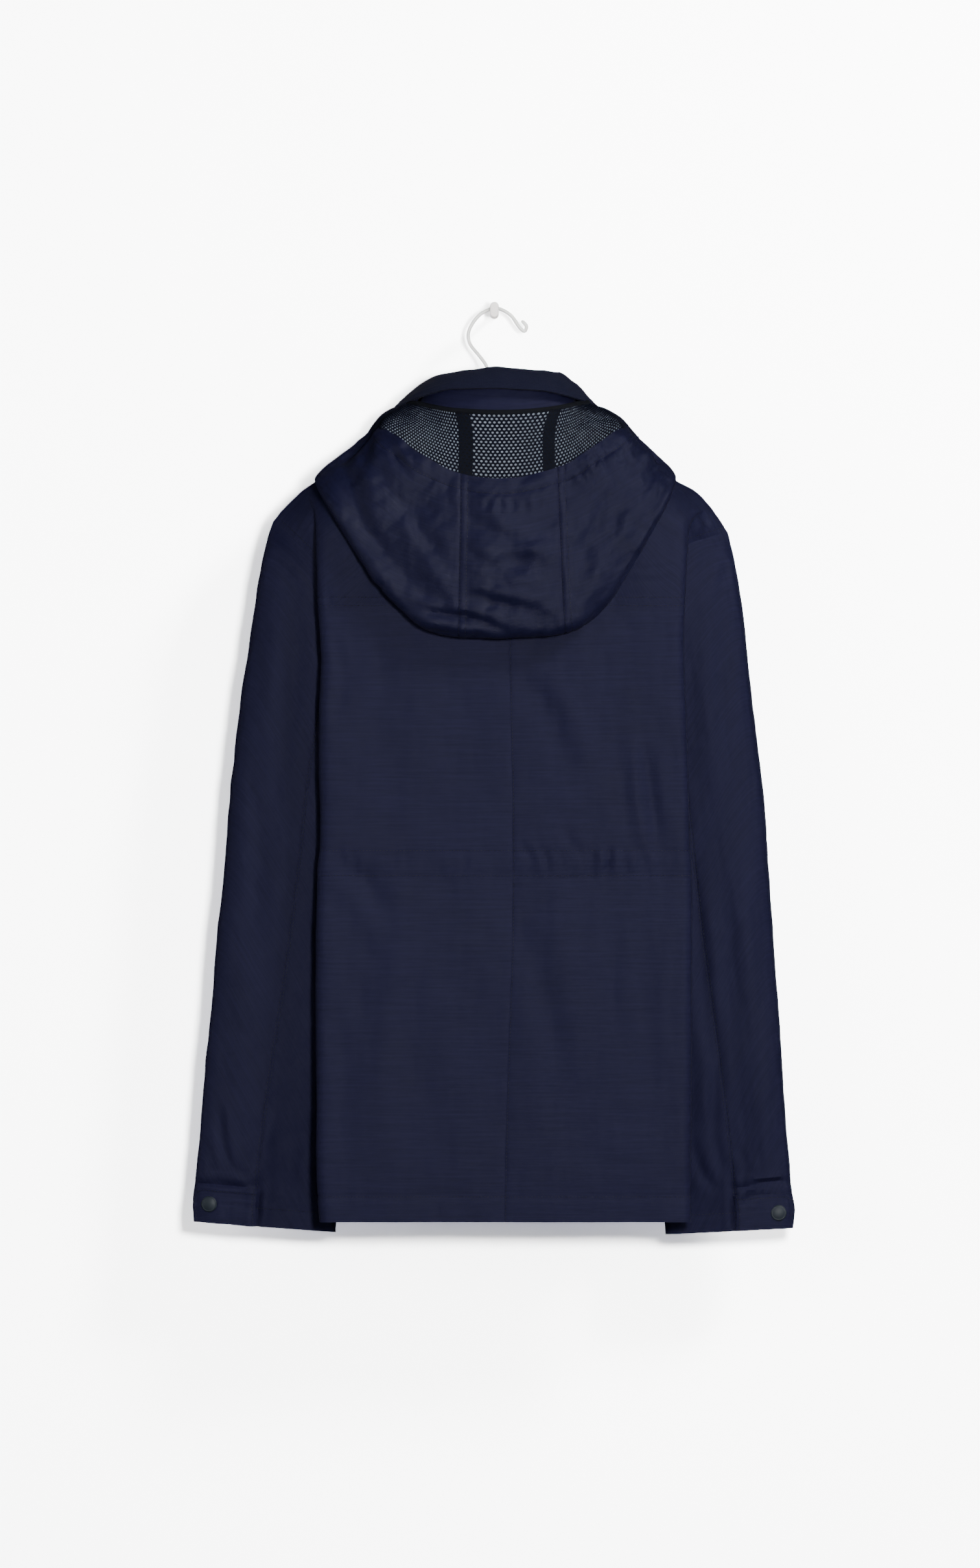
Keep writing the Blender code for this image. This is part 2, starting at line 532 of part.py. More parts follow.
def sleeve_grid(rings, back, front, side):
    """Rings from the armhole's own points to the cuff; columns go by the back to the front."""
    edge = 0 if side < 0 else -1
    first = [back[i, edge] for i in range(ARMHOLE_ROWS + 1)]
    first += [front[i, edge] for i in range(ARMHOLE_ROWS - 1, 0, -1)]
    rows = [np.array(first)]
    for ring in rings:
        outer = np.array((ring.outer_x, ring.outer_z))
        inner = np.array((ring.inner_x, ring.inner_z))
        along = inner - outer
        across = unit(np.array((-along[1], along[0])))
        if across[0] * side > 0:
            across = -across
        points = []
        for j in range(SLEEVE_COLUMNS):
            turn = math.pi * j / ARMHOLE_ROWS
            share = (1.0 - math.cos(turn)) / 2.0
            share -= ring.warp * share * (1.0 - share)
            depth = (1.0 - abs(2.0 * share - 1.0) ** SECTION_POWER) ** (1.0 / SECTION_POWER)
            depth *= ring.half_depth * (-1.0 if j <= ARMHOLE_ROWS else 1.0)
            place = outer + along * share + across * ring.bow * 4.0 * share * (1.0 - share)
            points.append((place[0], ring.mid_y + depth, place[1]))
        rows.append(np.array(points))
    return np.array(rows)


def ring_closed(grid):
    return np.concatenate((grid, grid[:, :1]), axis=1)


def build_body():
    back = back_grid()
    front = front_grid()
    left = ring_closed(sleeve_grid(SLEEVE_LEFT, back, front, -1))
    right = ring_closed(sleeve_grid(SLEEVE_RIGHT, back, front, 1))
    normals = shared_normals(((back, -1), (front, 1), (left, -1), (right, 1)))
    back_n, front_n, left_n, right_n = normals
    middle = HALF_COLUMNS
    low = slice(YOKE_ROW, None)
    cloth("back_yoke", "shell", back[:YOKE_ROW + 1], back_n[:YOKE_ROW + 1], SHELL,
          seams=("top", "bottom", "left", "right"))
    cloth("back_left", "shell", back[low, :middle + 1], back_n[low, :middle + 1], SHELL,
          seams=("top", "left", "right"))
    cloth("back_right", "shell", back[low, middle:], back_n[low, middle:], SHELL,
          seams=("top", "left", "right"))
    cloth("front_left", "shell", front[:, :middle + 1], front_n[:, :middle + 1], SHELL,
          seams=("top", "left", "right"))
    cloth("front_right", "shell", front[:, middle + 1:], front_n[:, middle + 1:], SHELL,
          seams=("top", "left", "right"))
    cloth("front_zip", "zip", front[:, middle:middle + 2], front_n[:, middle:middle + 2], SHELL,
          seams=("left", "right"))
    for side, grid, normal in (("left", left, left_n), ("right", right, right_n)):
        build_sleeve(side, grid, normal)
    return back


def build_sleeve(side, grid, normal):
    # the sleeve's first ring stands further off where it turns back on the body at the underarm
    grid = grid.copy()
    for j in range(SLEEVE_COLUMNS + 1):
        near = max(0.0, 1.0 - abs(j - ARMHOLE_ROWS) / UNDERARM_COLUMNS)
        grid[0, j] += unit(grid[1, j] - grid[0, j]) * UNDERARM_EASE * near
    front_seam = SLEEVE_COLUMNS - SLEEVE_SEAM
    under = slice(SLEEVE_SEAM, front_seam + 1)
    cloth("sleeve_under_" + side, "shell", grid[:, under], normal[:, under], SHELL,
          seams=("top", "left", "right"))
    upper = np.concatenate((grid[:, front_seam:-1], grid[:, :SLEEVE_SEAM + 1]), axis=1)
    upper_n = np.concatenate((normal[:, front_seam:-1], normal[:, :SLEEVE_SEAM + 1]), axis=1)
    cloth("sleeve_top_" + side, "shell", upper, upper_n, SHELL, seams=("top", "left", "right"))
    tab = slice(-TAB_ROWS, None)
    lift = SHELL / 2.0 + SEAM_GAP + TAB / 2.0
    cloth("cuff_tab_" + side, "shell", grid[tab, 1:SLEEVE_SEAM + 1], normal[tab, 1:SLEEVE_SEAM + 1],
          TAB, lift=lift)
    build_snap(side, grid, normal)


def build_snap(side, grid, normal):
    """A domed cap on the tab: its axis follows the cloth below it."""
    centre = grid[-2, 2] * (1.0 - SNAP_SHARE) + grid[-2, 3] * SNAP_SHARE
    axis = unit(normal[-2, 2] * (1.0 - SNAP_SHARE) + normal[-2, 3] * SNAP_SHARE)
    base = SHELL / 2.0 + SEAM_GAP + TAB + SNAP_LIFT
    across = unit(np.cross(axis, np.array((0.0, 0.0, 1.0))))
    up = np.cross(across, axis)
    rings = ((1.0, 0.0), (1.0, 0.6), (0.82, 0.9), (0.45, 1.0))
    count = SNAP_SIDES
    vertices = []
    for share, rise in rings:
        for k in range(count):
            turn = 2.0 * math.pi * k / count
            vertices.append(centre + axis * (base + rise * SNAP_HEIGHT)
                            + (across * math.cos(turn) + up * math.sin(turn)) * SNAP_RADIUS * share)
    faces = [tuple(range(count))]
    for ring in range(len(rings) - 1):
        for k in range(count):
            n = (k + 1) % count
            faces.append((ring * count + k, ring * count + n,
                          (ring + 1) * count + n, (ring + 1) * count + k))
    faces.append(tuple(range((len(rings) - 1) * count, len(rings) * count)))
    make_object("snap_" + side, vertices, faces, "snap")


# ---------------------------------------------------------------- collar
def ellipse_point(centre_x, centre_y, half_width, half_depth, psi, z):
    turn = math.radians(psi)
    return np.array((centre_x + half_width * math.sin(turn), centre_y - half_depth * math.cos(turn), z))


def top_point(grow, psi, z):
    return ellipse_point(TOP_X, TOP_Y, TOP_HALF_WIDTH + grow, TOP_HALF_DEPTH + grow, psi, z)


def build_collar():
    stand, rib = [], []
    for k in range(COLLAR_STEPS + 1):
        psi = -180.0 + COLLAR_OPEN + (360.0 - 2.0 * COLLAR_OPEN) * k / COLLAR_STEPS
        neck_z = table_value(COLLAR, "psi", psi, "neck_z")
        top_z = table_value(COLLAR, "psi", psi, "top_z")
        edge_z = table_value(COLLAR, "psi", psi, "edge_z")
        low = ellipse_point(NECK_X, NECK_Y, NECK_HALF_WIDTH - COLLAR_INSET,
                            NECK_HALF_DEPTH - COLLAR_INSET, psi, neck_z - COLLAR_FOOT)
        high = top_point(0.0, psi, top_z)
        stand.append([low + (high - low) * share for share in (0.0, 0.5, 1.0)])
        in_low = top_point(-RIB_INSIDE, psi, top_z - RIB_TUCK)
        in_top = top_point(-RIB_TURN, psi, top_z + RIB_TURN)
        out_top = top_point(RIB_TURN, psi, top_z + RIB_TURN)
        edge = ellipse_point(EDGE_X, NECK_Y, EDGE_HALF_WIDTH, EDGE_HALF_DEPTH, psi, edge_z)
        outward = unit(edge - np.array((NECK_X, NECK_Y, edge_z)))
        middle = (out_top + edge) / 2.0 + outward * RIB_SWELL
        rib.append(spline((in_low, in_top, out_top, middle, edge), (even(2), even(3), even(3))))
    stand = np.array(stand).transpose(1, 0, 2)
    rib = np.array(rib).transpose(1, 0, 2)
    stand_n, = shared_normals(((stand, -1),))
    rib_n, = shared_normals(((rib, 1),))
    cloth("collar_stand", "shell", stand, stand_n, SHELL)
    cloth("collar_rib", "rib", rib, rib_n, SHELL)


# ---------------------------------------------------------------- hood
def surface_tree(grid):
    rows, columns = grid.shape[:2]
    faces = []
    for i in range(rows - 1):
        for j in range(columns - 1):
            a = i * columns + j
            faces.append((a, a + columns, a + columns + 1, a + 1))
    return BVHTree.FromPolygons([Vector(v) for v in grid.reshape(-1, 3)], faces)


def off_surface(tree, point, need):
    """How far a point moves to stand at least the needed distance outside a surface."""
    place, outward, _, _ = tree.find_nearest(Vector(point))
    outward = np.array(outward)
    reach = float(np.dot(point - np.array(place), outward))
    return outward * max(0.0, need - reach)


def settle_on(grid, tree):
    """Lifts the layer that lies on the yoke clear of it, and the crown clear of that layer.

    The middles of the faces are lifted too, so that flat faces don't cut the shoulder."""
    rows, columns = grid.shape[:2]
    for _ in range(SETTLE_ROUNDS):
        lower = grid[NAPE_ROW - 1:]
        even_out = (lower[2:, 1:-1] + lower[:-2, 1:-1] + lower[1:-1, 2:] + lower[1:-1, :-2]) / 4.0
        lower[1:-1, 1:-1] += (even_out - lower[1:-1, 1:-1]) * EVEN_SHARE
        for i in range(rows):
            for j in range(columns):
                crown = max(0.0, min(1.0, (NAPE_ROW - i) / 2.0))
                need = YOKE_EASE + crown * max(CROWN_EASE, CROWN_FOLDS * HOOD[j].half_fold)
                grid[i, j] += off_surface(tree, grid[i, j], need)
        for i in range(rows - 1):
            for j in range(columns - 1):
                block = grid[i:i + 2, j:j + 2].reshape(-1, 3)
                for middle in ((block[0] + block[3]) / 2.0, (block[1] + block[2]) / 2.0):
                    grid[i:i + 2, j:j + 2] += off_surface(tree, middle, YOKE_EASE - FACE_EASE)


# Rows of the hood: two spans of the crown, the fold, and the layer that lies on the yoke.
HOOD_SPANS = ((0.3, 0.6, 1.0), even(3), even(2), even(3), (0.17, 0.34, 0.5, 0.65, 0.8, 0.9, 1.0))


def hood_grid(back):
    tree = surface_tree(back)
    columns = []
    for row in HOOD:
        rim = np.array((row.rim_x, row.rim_y, row.rim_z))
        fold = np.array((row.fold_x, row.fold_y, row.fold_z))
        neck = neck_point(row.psi, grow=NECK_GROW) + np.array((0.0, 0.0, NECK_RISE))
        out = np.array((0.0, -1.0, 0.0))
        upper = rim + (fold - rim) * UPPER_SHARE + out * row.bulge * UPPER_BULGE
        lower = rim + (fold - rim) * LOWER_SHARE + out * row.bulge
        front = fold + out * row.half_fold
        behind = fold - out * row.half_fold
        nape = behind + (neck - behind) * 0.5
        columns.append(spline((rim, upper, lower, front, behind, nape, neck), HOOD_SPANS))
    grid = np.array(columns).transpose(1, 0, 2)
    # the first row below the rim is the casing's stitch line
    for j in range(grid.shape[1]):
        away = grid[1, j] - grid[0, j]
        depth = min(CASING_DEPTH, CASING_SHARE * np.linalg.norm(away))
        grid[1, j] = grid[0, j] + unit(away) * depth
    settle_on(grid, tree)
    return grid


def build_hood(back):
    grid = hood_grid(back)
    normal, = shared_normals(((grid, -1),))
    cloth("hood_casing", "shell", grid[:2], normal[:2], SHELL, seams=("bottom",))
    parts = (("hood_left", 0, HOOD_SEAM_LEFT, ("top", "right")),
             ("hood_centre", HOOD_SEAM_LEFT, HOOD_SEAM_RIGHT, ("top", "left", "right")),
             ("hood_right", HOOD_SEAM_RIGHT, len(HOOD) - 1, ("top", "left")))
    for name, first, last, seams in parts:
        span = slice(first, last + 1)
        cloth(name, "shell", grid[1:, span], normal[1:, span], SHELL, seams=seams)
    span = slice(NET_FIRST, NET_LAST + 1)
    lift = -(SHELL / 2.0 + SEAM_GAP + NET / 2.0 + NET_EASE)
    net = grid[-NET_ROWS:, span].copy()
    away = net[-2] - net[-1]
    net[-1] += away / np.linalg.norm(away, axis=1, keepdims=True) * NET_START
    cloth("hood_net", "net", net, normal[-NET_ROWS:, span], NET, lift=lift)


# ---------------------------------------------------------------- hanger and peg
def smooth_path(points, closed, steps):
    """Catmull-Rom curve through the points."""
    points = [np.array(p, float) for p in points]
    count = len(points)
    result = []
    spans = count if closed else count - 1
    for i in range(spans):
        p1, p2 = points[i], points[(i + 1) % count]
        p0 = points[i - 1] if closed or i > 0 else p1 * 2.0 - p2
        p3 = points[(i + 2) % count] if closed or i + 2 < count else p2 * 2.0 - p1
        for k in range(steps):
            t = k / steps
            result.append(0.5 * (2.0 * p1 + (p2 - p0) * t + (2.0 * p0 - 5.0 * p1 + 4.0 * p2 - p3) * t * t
                                 + (3.0 * p1 - p0 - 3.0 * p2 + p3) * t ** 3))
    if not closed:
        result.append(points[-1])
    return np.array(result)


def tube(name, kind, path, radius, closed):
    count = len(path)
    sides = WIRE_SIDES
    vertices = []
    for i in range(count):
        ahead = path[(i + 1) % count] if closed or i + 1 < count else path[i]
        behind = path[i - 1] if closed or i > 0 else path[i]
        along = unit(ahead - behind)
        across = unit(np.cross(along, np.array((0.0, 1.0, 0.0))))
        other = np.cross(along, across)
        for k in range(sides):
            turn = 2.0 * math.pi * k / sides
            vertices.append(path[i] + (across * math.cos(turn) + other * math.sin(turn)) * radius)
    faces = []
    for i in range(count if closed else count - 1):
        n = (i + 1) % count
        for k in range(sides):
            m = (k + 1) % sides
            faces.append((i * sides + k, i * sides + m, n * sides + m, n * sides + k))
    if not closed:
        faces.append(tuple(range(sides)))
        faces.append(tuple(range((count - 1) * sides, count * sides)))
    make_object(name, vertices, faces, kind)


def build_peg():
    """A flat back, a round stem and a pill-shaped head, lofted along Y.

    Each section is its place from the wall and its share of the head's outline; 0 is the stem."""
    count = PEG_SIDES
    stem_z = -2.0 * PEG_DROP - PEG_STEM
    rise = PEG_HALF_HEIGHT - PEG_HALF_WIDTH
    sections = ((0.0, 1.0), (-2.4, 1.0), (-2.9, 0.9), (-3.0, 0.0), (-32.6, 0.0),
                (-32.7, 0.9), (-33.2, 1.0), (-PEG_REACH + 0.8, 1.0), (-PEG_REACH, 0.82))
    vertices = []
    for y, share in sections:
        for k in range(count):
            turn = 2.0 * math.pi * k / count
            if share == 0.0:
                x, z = PEG_STEM * math.cos(turn), stem_z + PEG_STEM * math.sin(turn)
            else:
                x = PEG_HALF_WIDTH * math.cos(turn) * share
                z = PEG_HALF_WIDTH * math.sin(turn) + math.copysign(rise, math.sin(turn + 1e-6))
                z = z * share - PEG_DROP
            vertices.append((x, y, z))
    faces = [tuple(range(count))]
    for ring in range(len(sections) - 1):
        for k in range(count):
            n = (k + 1) % count
            faces.append((ring * count + k, ring * count + n,
                          (ring + 1) * count + n, (ring + 1) * count + k))
    faces.append(tuple(range((len(sections) - 1) * count, len(sections) * count)))
    make_object("wall_peg", vertices, faces, "peg")


clear_scene()
back_points = build_body()
build_collar()
build_hood(back_points)
tube("hanger_hook", "wire", smooth_path(HOOK, False, 3), WIRE_RADIUS, False)
tube("hanger_frame", "wire", smooth_path(FRAME, True, 2), WIRE_RADIUS, True)
build_peg()
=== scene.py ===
"""Looks of a hooded nylon jacket hung by a wire hanger on a small wall peg.

Lengths in the tables are in millimetres: +X right and +Z up as seen from behind the jacket, and the
wall is the plane y = 0. The jacket's back faces -Y.

The cloth is made in four steps: coarse grids are drawn from the tables, cut into fine surfaces, raised by
folds, seams and puckers, and parted along the seams into the pieces, each a thin closed wall.
"""
import math
from collections import namedtuple

import bpy
import numpy as np
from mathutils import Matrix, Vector
from mathutils.bvhtree import BVHTree


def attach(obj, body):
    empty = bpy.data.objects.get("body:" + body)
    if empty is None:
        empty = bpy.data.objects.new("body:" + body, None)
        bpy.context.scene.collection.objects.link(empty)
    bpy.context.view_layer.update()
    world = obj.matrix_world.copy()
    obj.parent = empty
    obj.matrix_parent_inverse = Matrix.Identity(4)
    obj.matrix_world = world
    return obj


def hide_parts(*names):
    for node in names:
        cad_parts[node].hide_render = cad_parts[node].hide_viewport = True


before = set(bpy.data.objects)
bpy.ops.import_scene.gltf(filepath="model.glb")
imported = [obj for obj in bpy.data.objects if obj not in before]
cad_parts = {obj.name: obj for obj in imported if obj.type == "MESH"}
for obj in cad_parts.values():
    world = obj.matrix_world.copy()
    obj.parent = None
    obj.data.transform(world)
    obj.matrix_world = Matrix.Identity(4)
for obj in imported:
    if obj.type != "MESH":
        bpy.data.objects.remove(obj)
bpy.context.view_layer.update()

MM = 0.001


# ---------------------------------------------------------------- driving sizes (mm)
CLOTH = 0.9             # wall of the nylon shell
CLOTH_OUT = 0.45        # how far the cloth's middle lies outside the panel's middle surface
EDGE_STEP = -0.11       # how far a piece's edge is pulled in from its seam: below 0, so that it runs past it
CELL = 3.6              # size of the back's mesh cells
HIDDEN_CELL = 4.6       # and of the front's, which the photo hides
SLEEVE_CELL = 4.2
HOOD_CELL = 2.9
STAND_CELL, RIB_CELL = 2.6, 2.2
CREASE_STEP = 5.0       # a crease's path has a point this often
SEAM_FADE = 14.0        # a body panel's or sleeve's folds reach their full height this far from the seams

# the jacket's grids
SHOULDER_COLUMNS, NECK_COLUMNS = 14, 6
SHOULDER_Z = -216.0     # a level above this runs straight in from its fold
HALF_COLUMNS = SHOULDER_COLUMNS + NECK_COLUMNS
ARMHOLE_ROWS = 12
YOKE_ROW = 5
SLEEVE_COLUMNS = 2 * ARMHOLE_ROWS
SLEEVE_SEAM = 6
FRONT_SEAM = SLEEVE_COLUMNS - SLEEVE_SEAM
NECK_X, NECK_Y = 3.5, -58.0
NECK_HALF_WIDTH, NECK_HALF_DEPTH = 79.5, 40.0
ZIP_HALF, ZIP_X = 6.5, 3.5
SECTION_POWER = 2.5     # a sleeve's section: 2 is an ellipse, more is fuller
UNDERARM_STEP = 0.6     # the sleeve's first ring stands this much further off the body at the underarm
YOKE_EASE = 4.0         # the hood's layer stands this far off the yoke's middle surface
EVERY = slice(None)

# stitches
STITCH_PITCH, STITCH_LENGTH, STITCH_WIDTH, STITCH_HEIGHT = 3.1, 2.3, 0.5, 0.28
TUNNEL_TOP, TUNNEL_BOTTOM = -502.4, -525.6      # the waist tunnel's two rows of stitches
HEM_STITCH = -821.6
YOKE_STITCH = 6.0       # between the yoke seam's two rows
CUFF_STITCH = 17.0      # the cuff's hem
HOOD_STITCH = 7.2       # between a hood seam and its row of stitches

# the hood's net, facings, tapes and binding; the binding's dark strip also paints the shade along the neck seam
NAPE_BULGES = ((-99.0, -108.0, -1.0), (107.0, -106.0, 1.0))     # where the net swells past the neck's sides
BULGE, BULGE_REACH = 9.0, 22.0
NET_PITCH = 2.9         # from hole to hole
NET_HOLE = 0.54         # the hole's share of its cell
NET_ROW = 0.866         # a row of six-sided cells is this share of the pitch
NET_WALL = 0.35
NET_LIFT = -1.5         # from the hood's middle surface towards the inside
NET_LINE, NET_LINE_SHIFT = 12, 4.0              # the thin line of stitches in the net
FACING_ROWS, FACING_LIFT = 16, -0.12
TAPE_LIFT, TAPE_WALL = -0.35, 0.35
BINDING_ROWS = (-4.4, -3.3, -2.2, -1.1, 0.0)    # mm up from the neck seam
BINDING_SWELL = (0.0, 0.5, 0.7, 0.5, 0.2)
BINDING_LIFT, BINDING_WALL = -1.9, 0.5

# the collar
RIB_PITCH = 1.8         # from rib to rib of the knitted collar
RIB_COLUMNS = 4         # mesh columns in each rib
RIB_HEIGHT = 0.6
RIB_OUT, RIB_IN = 0.35, 0.75    # the knit's faces lie this far from its middle surface
RIB_STITCH = 6.6        # the stitches lie this far above the collar's edge
RIB_GROOVE = 1.5        # and draw the knit in by this much
COLLAR_STEPS = 34

# cuff tabs, snap caps and the zip
TAB_DEPTH, TAB_CORNER, TAB_GAP, TAB_WALL, TAB_STITCH = 33.0, 9.0, 0.6, 1.3, 3.2
TAB_STEPS = 22
SNAP_PROFILE = ((7.2, 0.0), (7.35, 0.45), (7.15, 1.05), (6.45, 1.5), (6.0, 1.42), (5.6, 1.55),
                (4.2, 2.0), (2.2, 2.3), (0.5, 2.4))
SNAP_PLACE = {"left": (0.41, 0.47), "right": (0.40, 0.55)}      # shares of the tab's width and depth
SNAP_LIFT = 0.25
PLATE_EDGE = ((0.88, 0.0), (1.0, 0.22), (1.0, 0.78), (0.88, 1.0))       # shares of the outline and the height
SLIDER = ((-3.4, -4.5), (3.4, -4.5), (3.9, 0.0), (3.2, 4.4), (0.0, 5.4), (-3.2, 4.4), (-3.9, 0.0))
PULLER = ((-1.6, 1.0), (-2.4, -8.0), (-3.0, -17.0), (-2.0, -20.0), (0.0, -21.0), (2.0, -20.0), (3.0, -17.0),
          (2.4, -8.0), (1.6, 1.0))
SLIDER_THICK, SLIDER_LIFT = 2.6, 0.9
PULLER_THICK, PULLER_LIFT = 1.2, 2.9

# hanger and peg
WIRE_RADIUS = 1.6
WIRE_TIP = (0.45, 0.8, 0.96)    # the hook's end is rounded by these shares of the radius
PEG_HALF_WIDTH, PEG_HALF_HEIGHT, PEG_REACH = 4.0, 7.2, 37.0
PEG_STEM, PEG_STEM_TOP = 2.4, -1.2      # the stem's radius, and the height of its upper side
PEG_MIDDLE = -0.6       # height of the middle of the peg's back and head
PEG_POINTS = 64
# Sections of the peg from the wall out: depth, and the share of the full head; 0 stands for the stem.
PEG_SECTIONS = ((0.0, 1.0), (-2.2, 1.0), (-2.7, 0.95), (-2.95, 0.85), (-3.0, 0.0), (-32.6, 0.0), (-32.65, 0.85),
                (-32.9, 0.95), (-33.4, 1.0), (0.9 - PEG_REACH, 1.0), (0.4 - PEG_REACH, 0.96),
                (0.1 - PEG_REACH, 0.88), (-PEG_REACH, 0.76))


# ---------------------------------------------------------------- stage, light and camera (m, W)
WALL_Y, ROOM_REACH, FLOOR_Z = 0.0015, 14.0, -1.35
WALL_WHITENESS = 13.0   # the panel shows far brighter than the dark cloth, as in a bleached studio shot
WALL_REACH = 1.4        # beyond this the other walls of the room show, which glow evenly
ROOM_GLOW = 7.5         # the floor and the other walls glow evenly, for the views from other sides
VIEW_CENTRE = (-0.0041, -0.06, -0.441)
VIEW_HEIGHT, VIEW_DISTANCE, SENSOR = 1.452, 10.0, 36.0

Lamp = namedtuple("Lamp", "name place size power")

LAMP_TARGET = (0.0, -0.06, -0.45)
LAMPS = [Lamp(*row) for row in (
    ("key", (0.55, -3.5, -0.10), 0.45, 60.0),
    ("relief", (2.3, -1.7, 2.0), 0.8, 50.0),
    ("fill", (-2.6, -2.6, 0.3), 2.2, 10.0),
    ("side_left", (-3.2, -1.1, -0.2), 1.8, 13.0),
    ("side_right", (3.2, -0.9, -0.5), 1.8, 9.0),
    ("low", (0.2, -3.2, -2.4), 2.0, 4.0),
    ("far_key", (-0.5, 3.2, -2.8), 1.4, 70.0),
    ("far_fill", (0.8, 3.3, -2.2), 1.4, 35.0),
)]

WHITE_TARGET = (0.0, -0.04, -0.03)
WHITE_LAMPS = [Lamp(*row) for row in (
    ("white_key", (1.2, -3.3, 1.0), 1.5, 170.0),
    ("white_fill", (-2.2, -2.8, -0.2), 1.5, 105.0),
)]


# ---------------------------------------------------------------- tables (mm)
# One row per level of half a body panel, from the level below the shoulder down to the hem.
# edge = armhole or side seam, valley and guide = where the side fold turns in, fold = its outer edge.
Level = namedtuple("Level", "z edge_x edge_y valley_x valley_y guide_x guide_y fold_x fold_in fold_out")

BACK_LEFT = [Level(*row) for row in (
    (-213, -187.0, -72.0, -178, -77, -172, -79, -166.0, -82, -88),
    (-229, -171.0, -79.0, -163, -82, -157, -84, -164.0, -86, -98),
    (-245, -157.0, -83.0, -149, -87, -150, -89, -163.4, -90, -103),
    (-260, -143.0, -86.0, -139, -90, -148, -91, -162.6, -91, -106),
    (-275, -131.0, -87.0, -128, -92, -147, -92, -161.8, -92, -108),
    (-300, -116.0, -87.5, -112, -92, -146, -92, -160.2, -92, -109),
    (-325, -106.0, -87.0, -102, -92, -145, -92, -158.8, -92, -109),
    (-350, -99.5, -85.5, -95.5, -92, -146, -92, -159.4, -92, -109),
    (-375, -95.5, -82.5, -91.5, -92, -146, -92, -160.4, -92, -109),
    (-398, -92.5, -77.0, -89.5, -91, -146, -92, -160.6, -92, -109),
    (-417, -90.0, -69.0, -88.0, -90, -146, -92, -160.5, -92, -109),
    (-430, -88.0, -60.0, -87.0, -89, -146, -92, -160.4, -92, -109),
    (-495, -88.0, -60.0, -87.0, -89, -146, -92, -160.0, -92, -109),
    (-526, -89.0, -60.0, -88.0, -89, -147, -92, -162.2, -92, -108),
    (-585, -90.5, -60.0, -89.5, -89, -148, -92, -163.2, -92, -110),
    (-660, -92.0, -60.0, -91.0, -89, -149, -92, -164.0, -92, -110),
    (-740, -94.0, -60.0, -93.0, -89, -149, -92, -163.5, -92, -109),
    (-800, -96.0, -60.0, -95.0, -89, -148, -92, -162.4, -92, -108),
    (-845, -98.0, -60.0, -97.0, -88, -145, -91, -159.5, -91, -106),
)]

BACK_RIGHT = [Level(*row) for row in (
    (-214, 194.0, -72.0, 190, -77, 187, -79, 183.0, -82, -88),
    (-219, 179.5, -79.0, 176, -82, 173, -84, 179.2, -86, -98),
    (-232, 163.0, -83.0, 160, -87, 164, -89, 178.0, -90, -103),
    (-250, 147.0, -86.0, 143, -90, 162, -91, 176.7, -91, -106),
    (-275, 133.0, -87.0, 130, -92, 161, -92, 175.6, -92, -108),
    (-300, 118.0, -87.5, 114, -92, 160, -92, 174.5, -92, -109),
    (-325, 108.0, -87.0, 104, -92, 160, -92, 174.4, -92, -109),
    (-350, 101.5, -85.5, 97.5, -92, 160, -92, 174.8, -92, -109),
    (-375, 97.5, -82.5, 93.5, -92, 161, -92, 176.2, -92, -109),
    (-398, 94.5, -77.0, 91.5, -91, 162, -92, 177.2, -92, -109),
    (-417, 92.0, -69.0, 90.0, -90, 163, -92, 177.7, -92, -109),
    (-430, 90.0, -60.0, 89.0, -89, 163, -92, 178.0, -92, -109),
    (-495, 90.0, -60.0, 89.0, -89, 165, -92, 179.5, -92, -109),
    (-526, 91.0, -60.0, 90.0, -89, 166, -92, 180.5, -92, -108),
    (-585, 92.5, -60.0, 91.5, -89, 166, -92, 180.6, -92, -110),
    (-660, 94.0, -60.0, 93.0, -89, 166, -92, 180.6, -92, -110),
    (-740, 96.0, -60.0, 95.0, -89, 166, -92, 180.6, -92, -109),
    (-800, 98.0, -60.0, 97.0, -89, 166, -92, 180.6, -92, -108),
    (-845, 100.0, -60.0, 99.0, -88, 165, -91, 180.6, -91, -106),
)]

# The front lies near the wall, so it needs only the armhole's depth and the depth of its side fold.
Front = namedtuple("Front", "edge_y valley_y guide_y fold_in fold_out")
FRONT_DEPTH = [Front(*row) for row in (
    (-45.0, -41, -39, -36, -31),
    (-38.5, -36, -34, -32, -22),
    (-35.0, -32, -31, -30, -19),
    (-33.0, -30, -30, -30, -17),
    (-32.0, -28, -30, -30, -16),
    (-31.5, -28, -30, -30, -15),
    (-32.0, -28, -30, -30, -15),
    (-33.5, -28, -30, -30, -15),
    (-37.0, -29, -30, -30, -15),
    (-42.5, -30, -30, -30, -15),
    (-50.5, -31, -30, -30, -15),
    (-60.0, -32, -30, -30, -15),
)]

# Centre line of the panels: one row per level above the hem.
Centre = namedtuple("Centre", "back_x back_y back_z front_y front_z")
CENTRE = [Centre(*row) for row in (
    (6.0, -102, -127, -19.0, -172),
    (9.0, -104, -158, -17.5, -196),
    (11.0, -105, -196, -16.5, -222),
    (12.0, -106, -235, -16.0, -248),
    (13.0, -107, -275, -16.0, -275),
    (13.0, -107, -300, -15.5, -300),
    (13.5, -107, -325, -15.5, -325),
    (14.0, -107, -350, -15.5, -350),
    (14.5, -107, -375, -15.5, -375),
    (15.0, -107, -398, -15.5, -398),
    (15.5, -107, -417, -15.5, -417),
    (16.0, -107, -430, -15.5, -430),
    (16.5, -107, -495, -15.5, -495),
    (16.5, -106, -526, -15.5, -526),
    (16.0, -108, -585, -15.5, -585),
    (13.5, -108, -660, -15.5, -660),
    (11.0, -107, -740, -15.5, -740),
    (9.5, -106, -800, -15.5, -800),
    (9.0, -104, -845, -16.0, -845),
)]

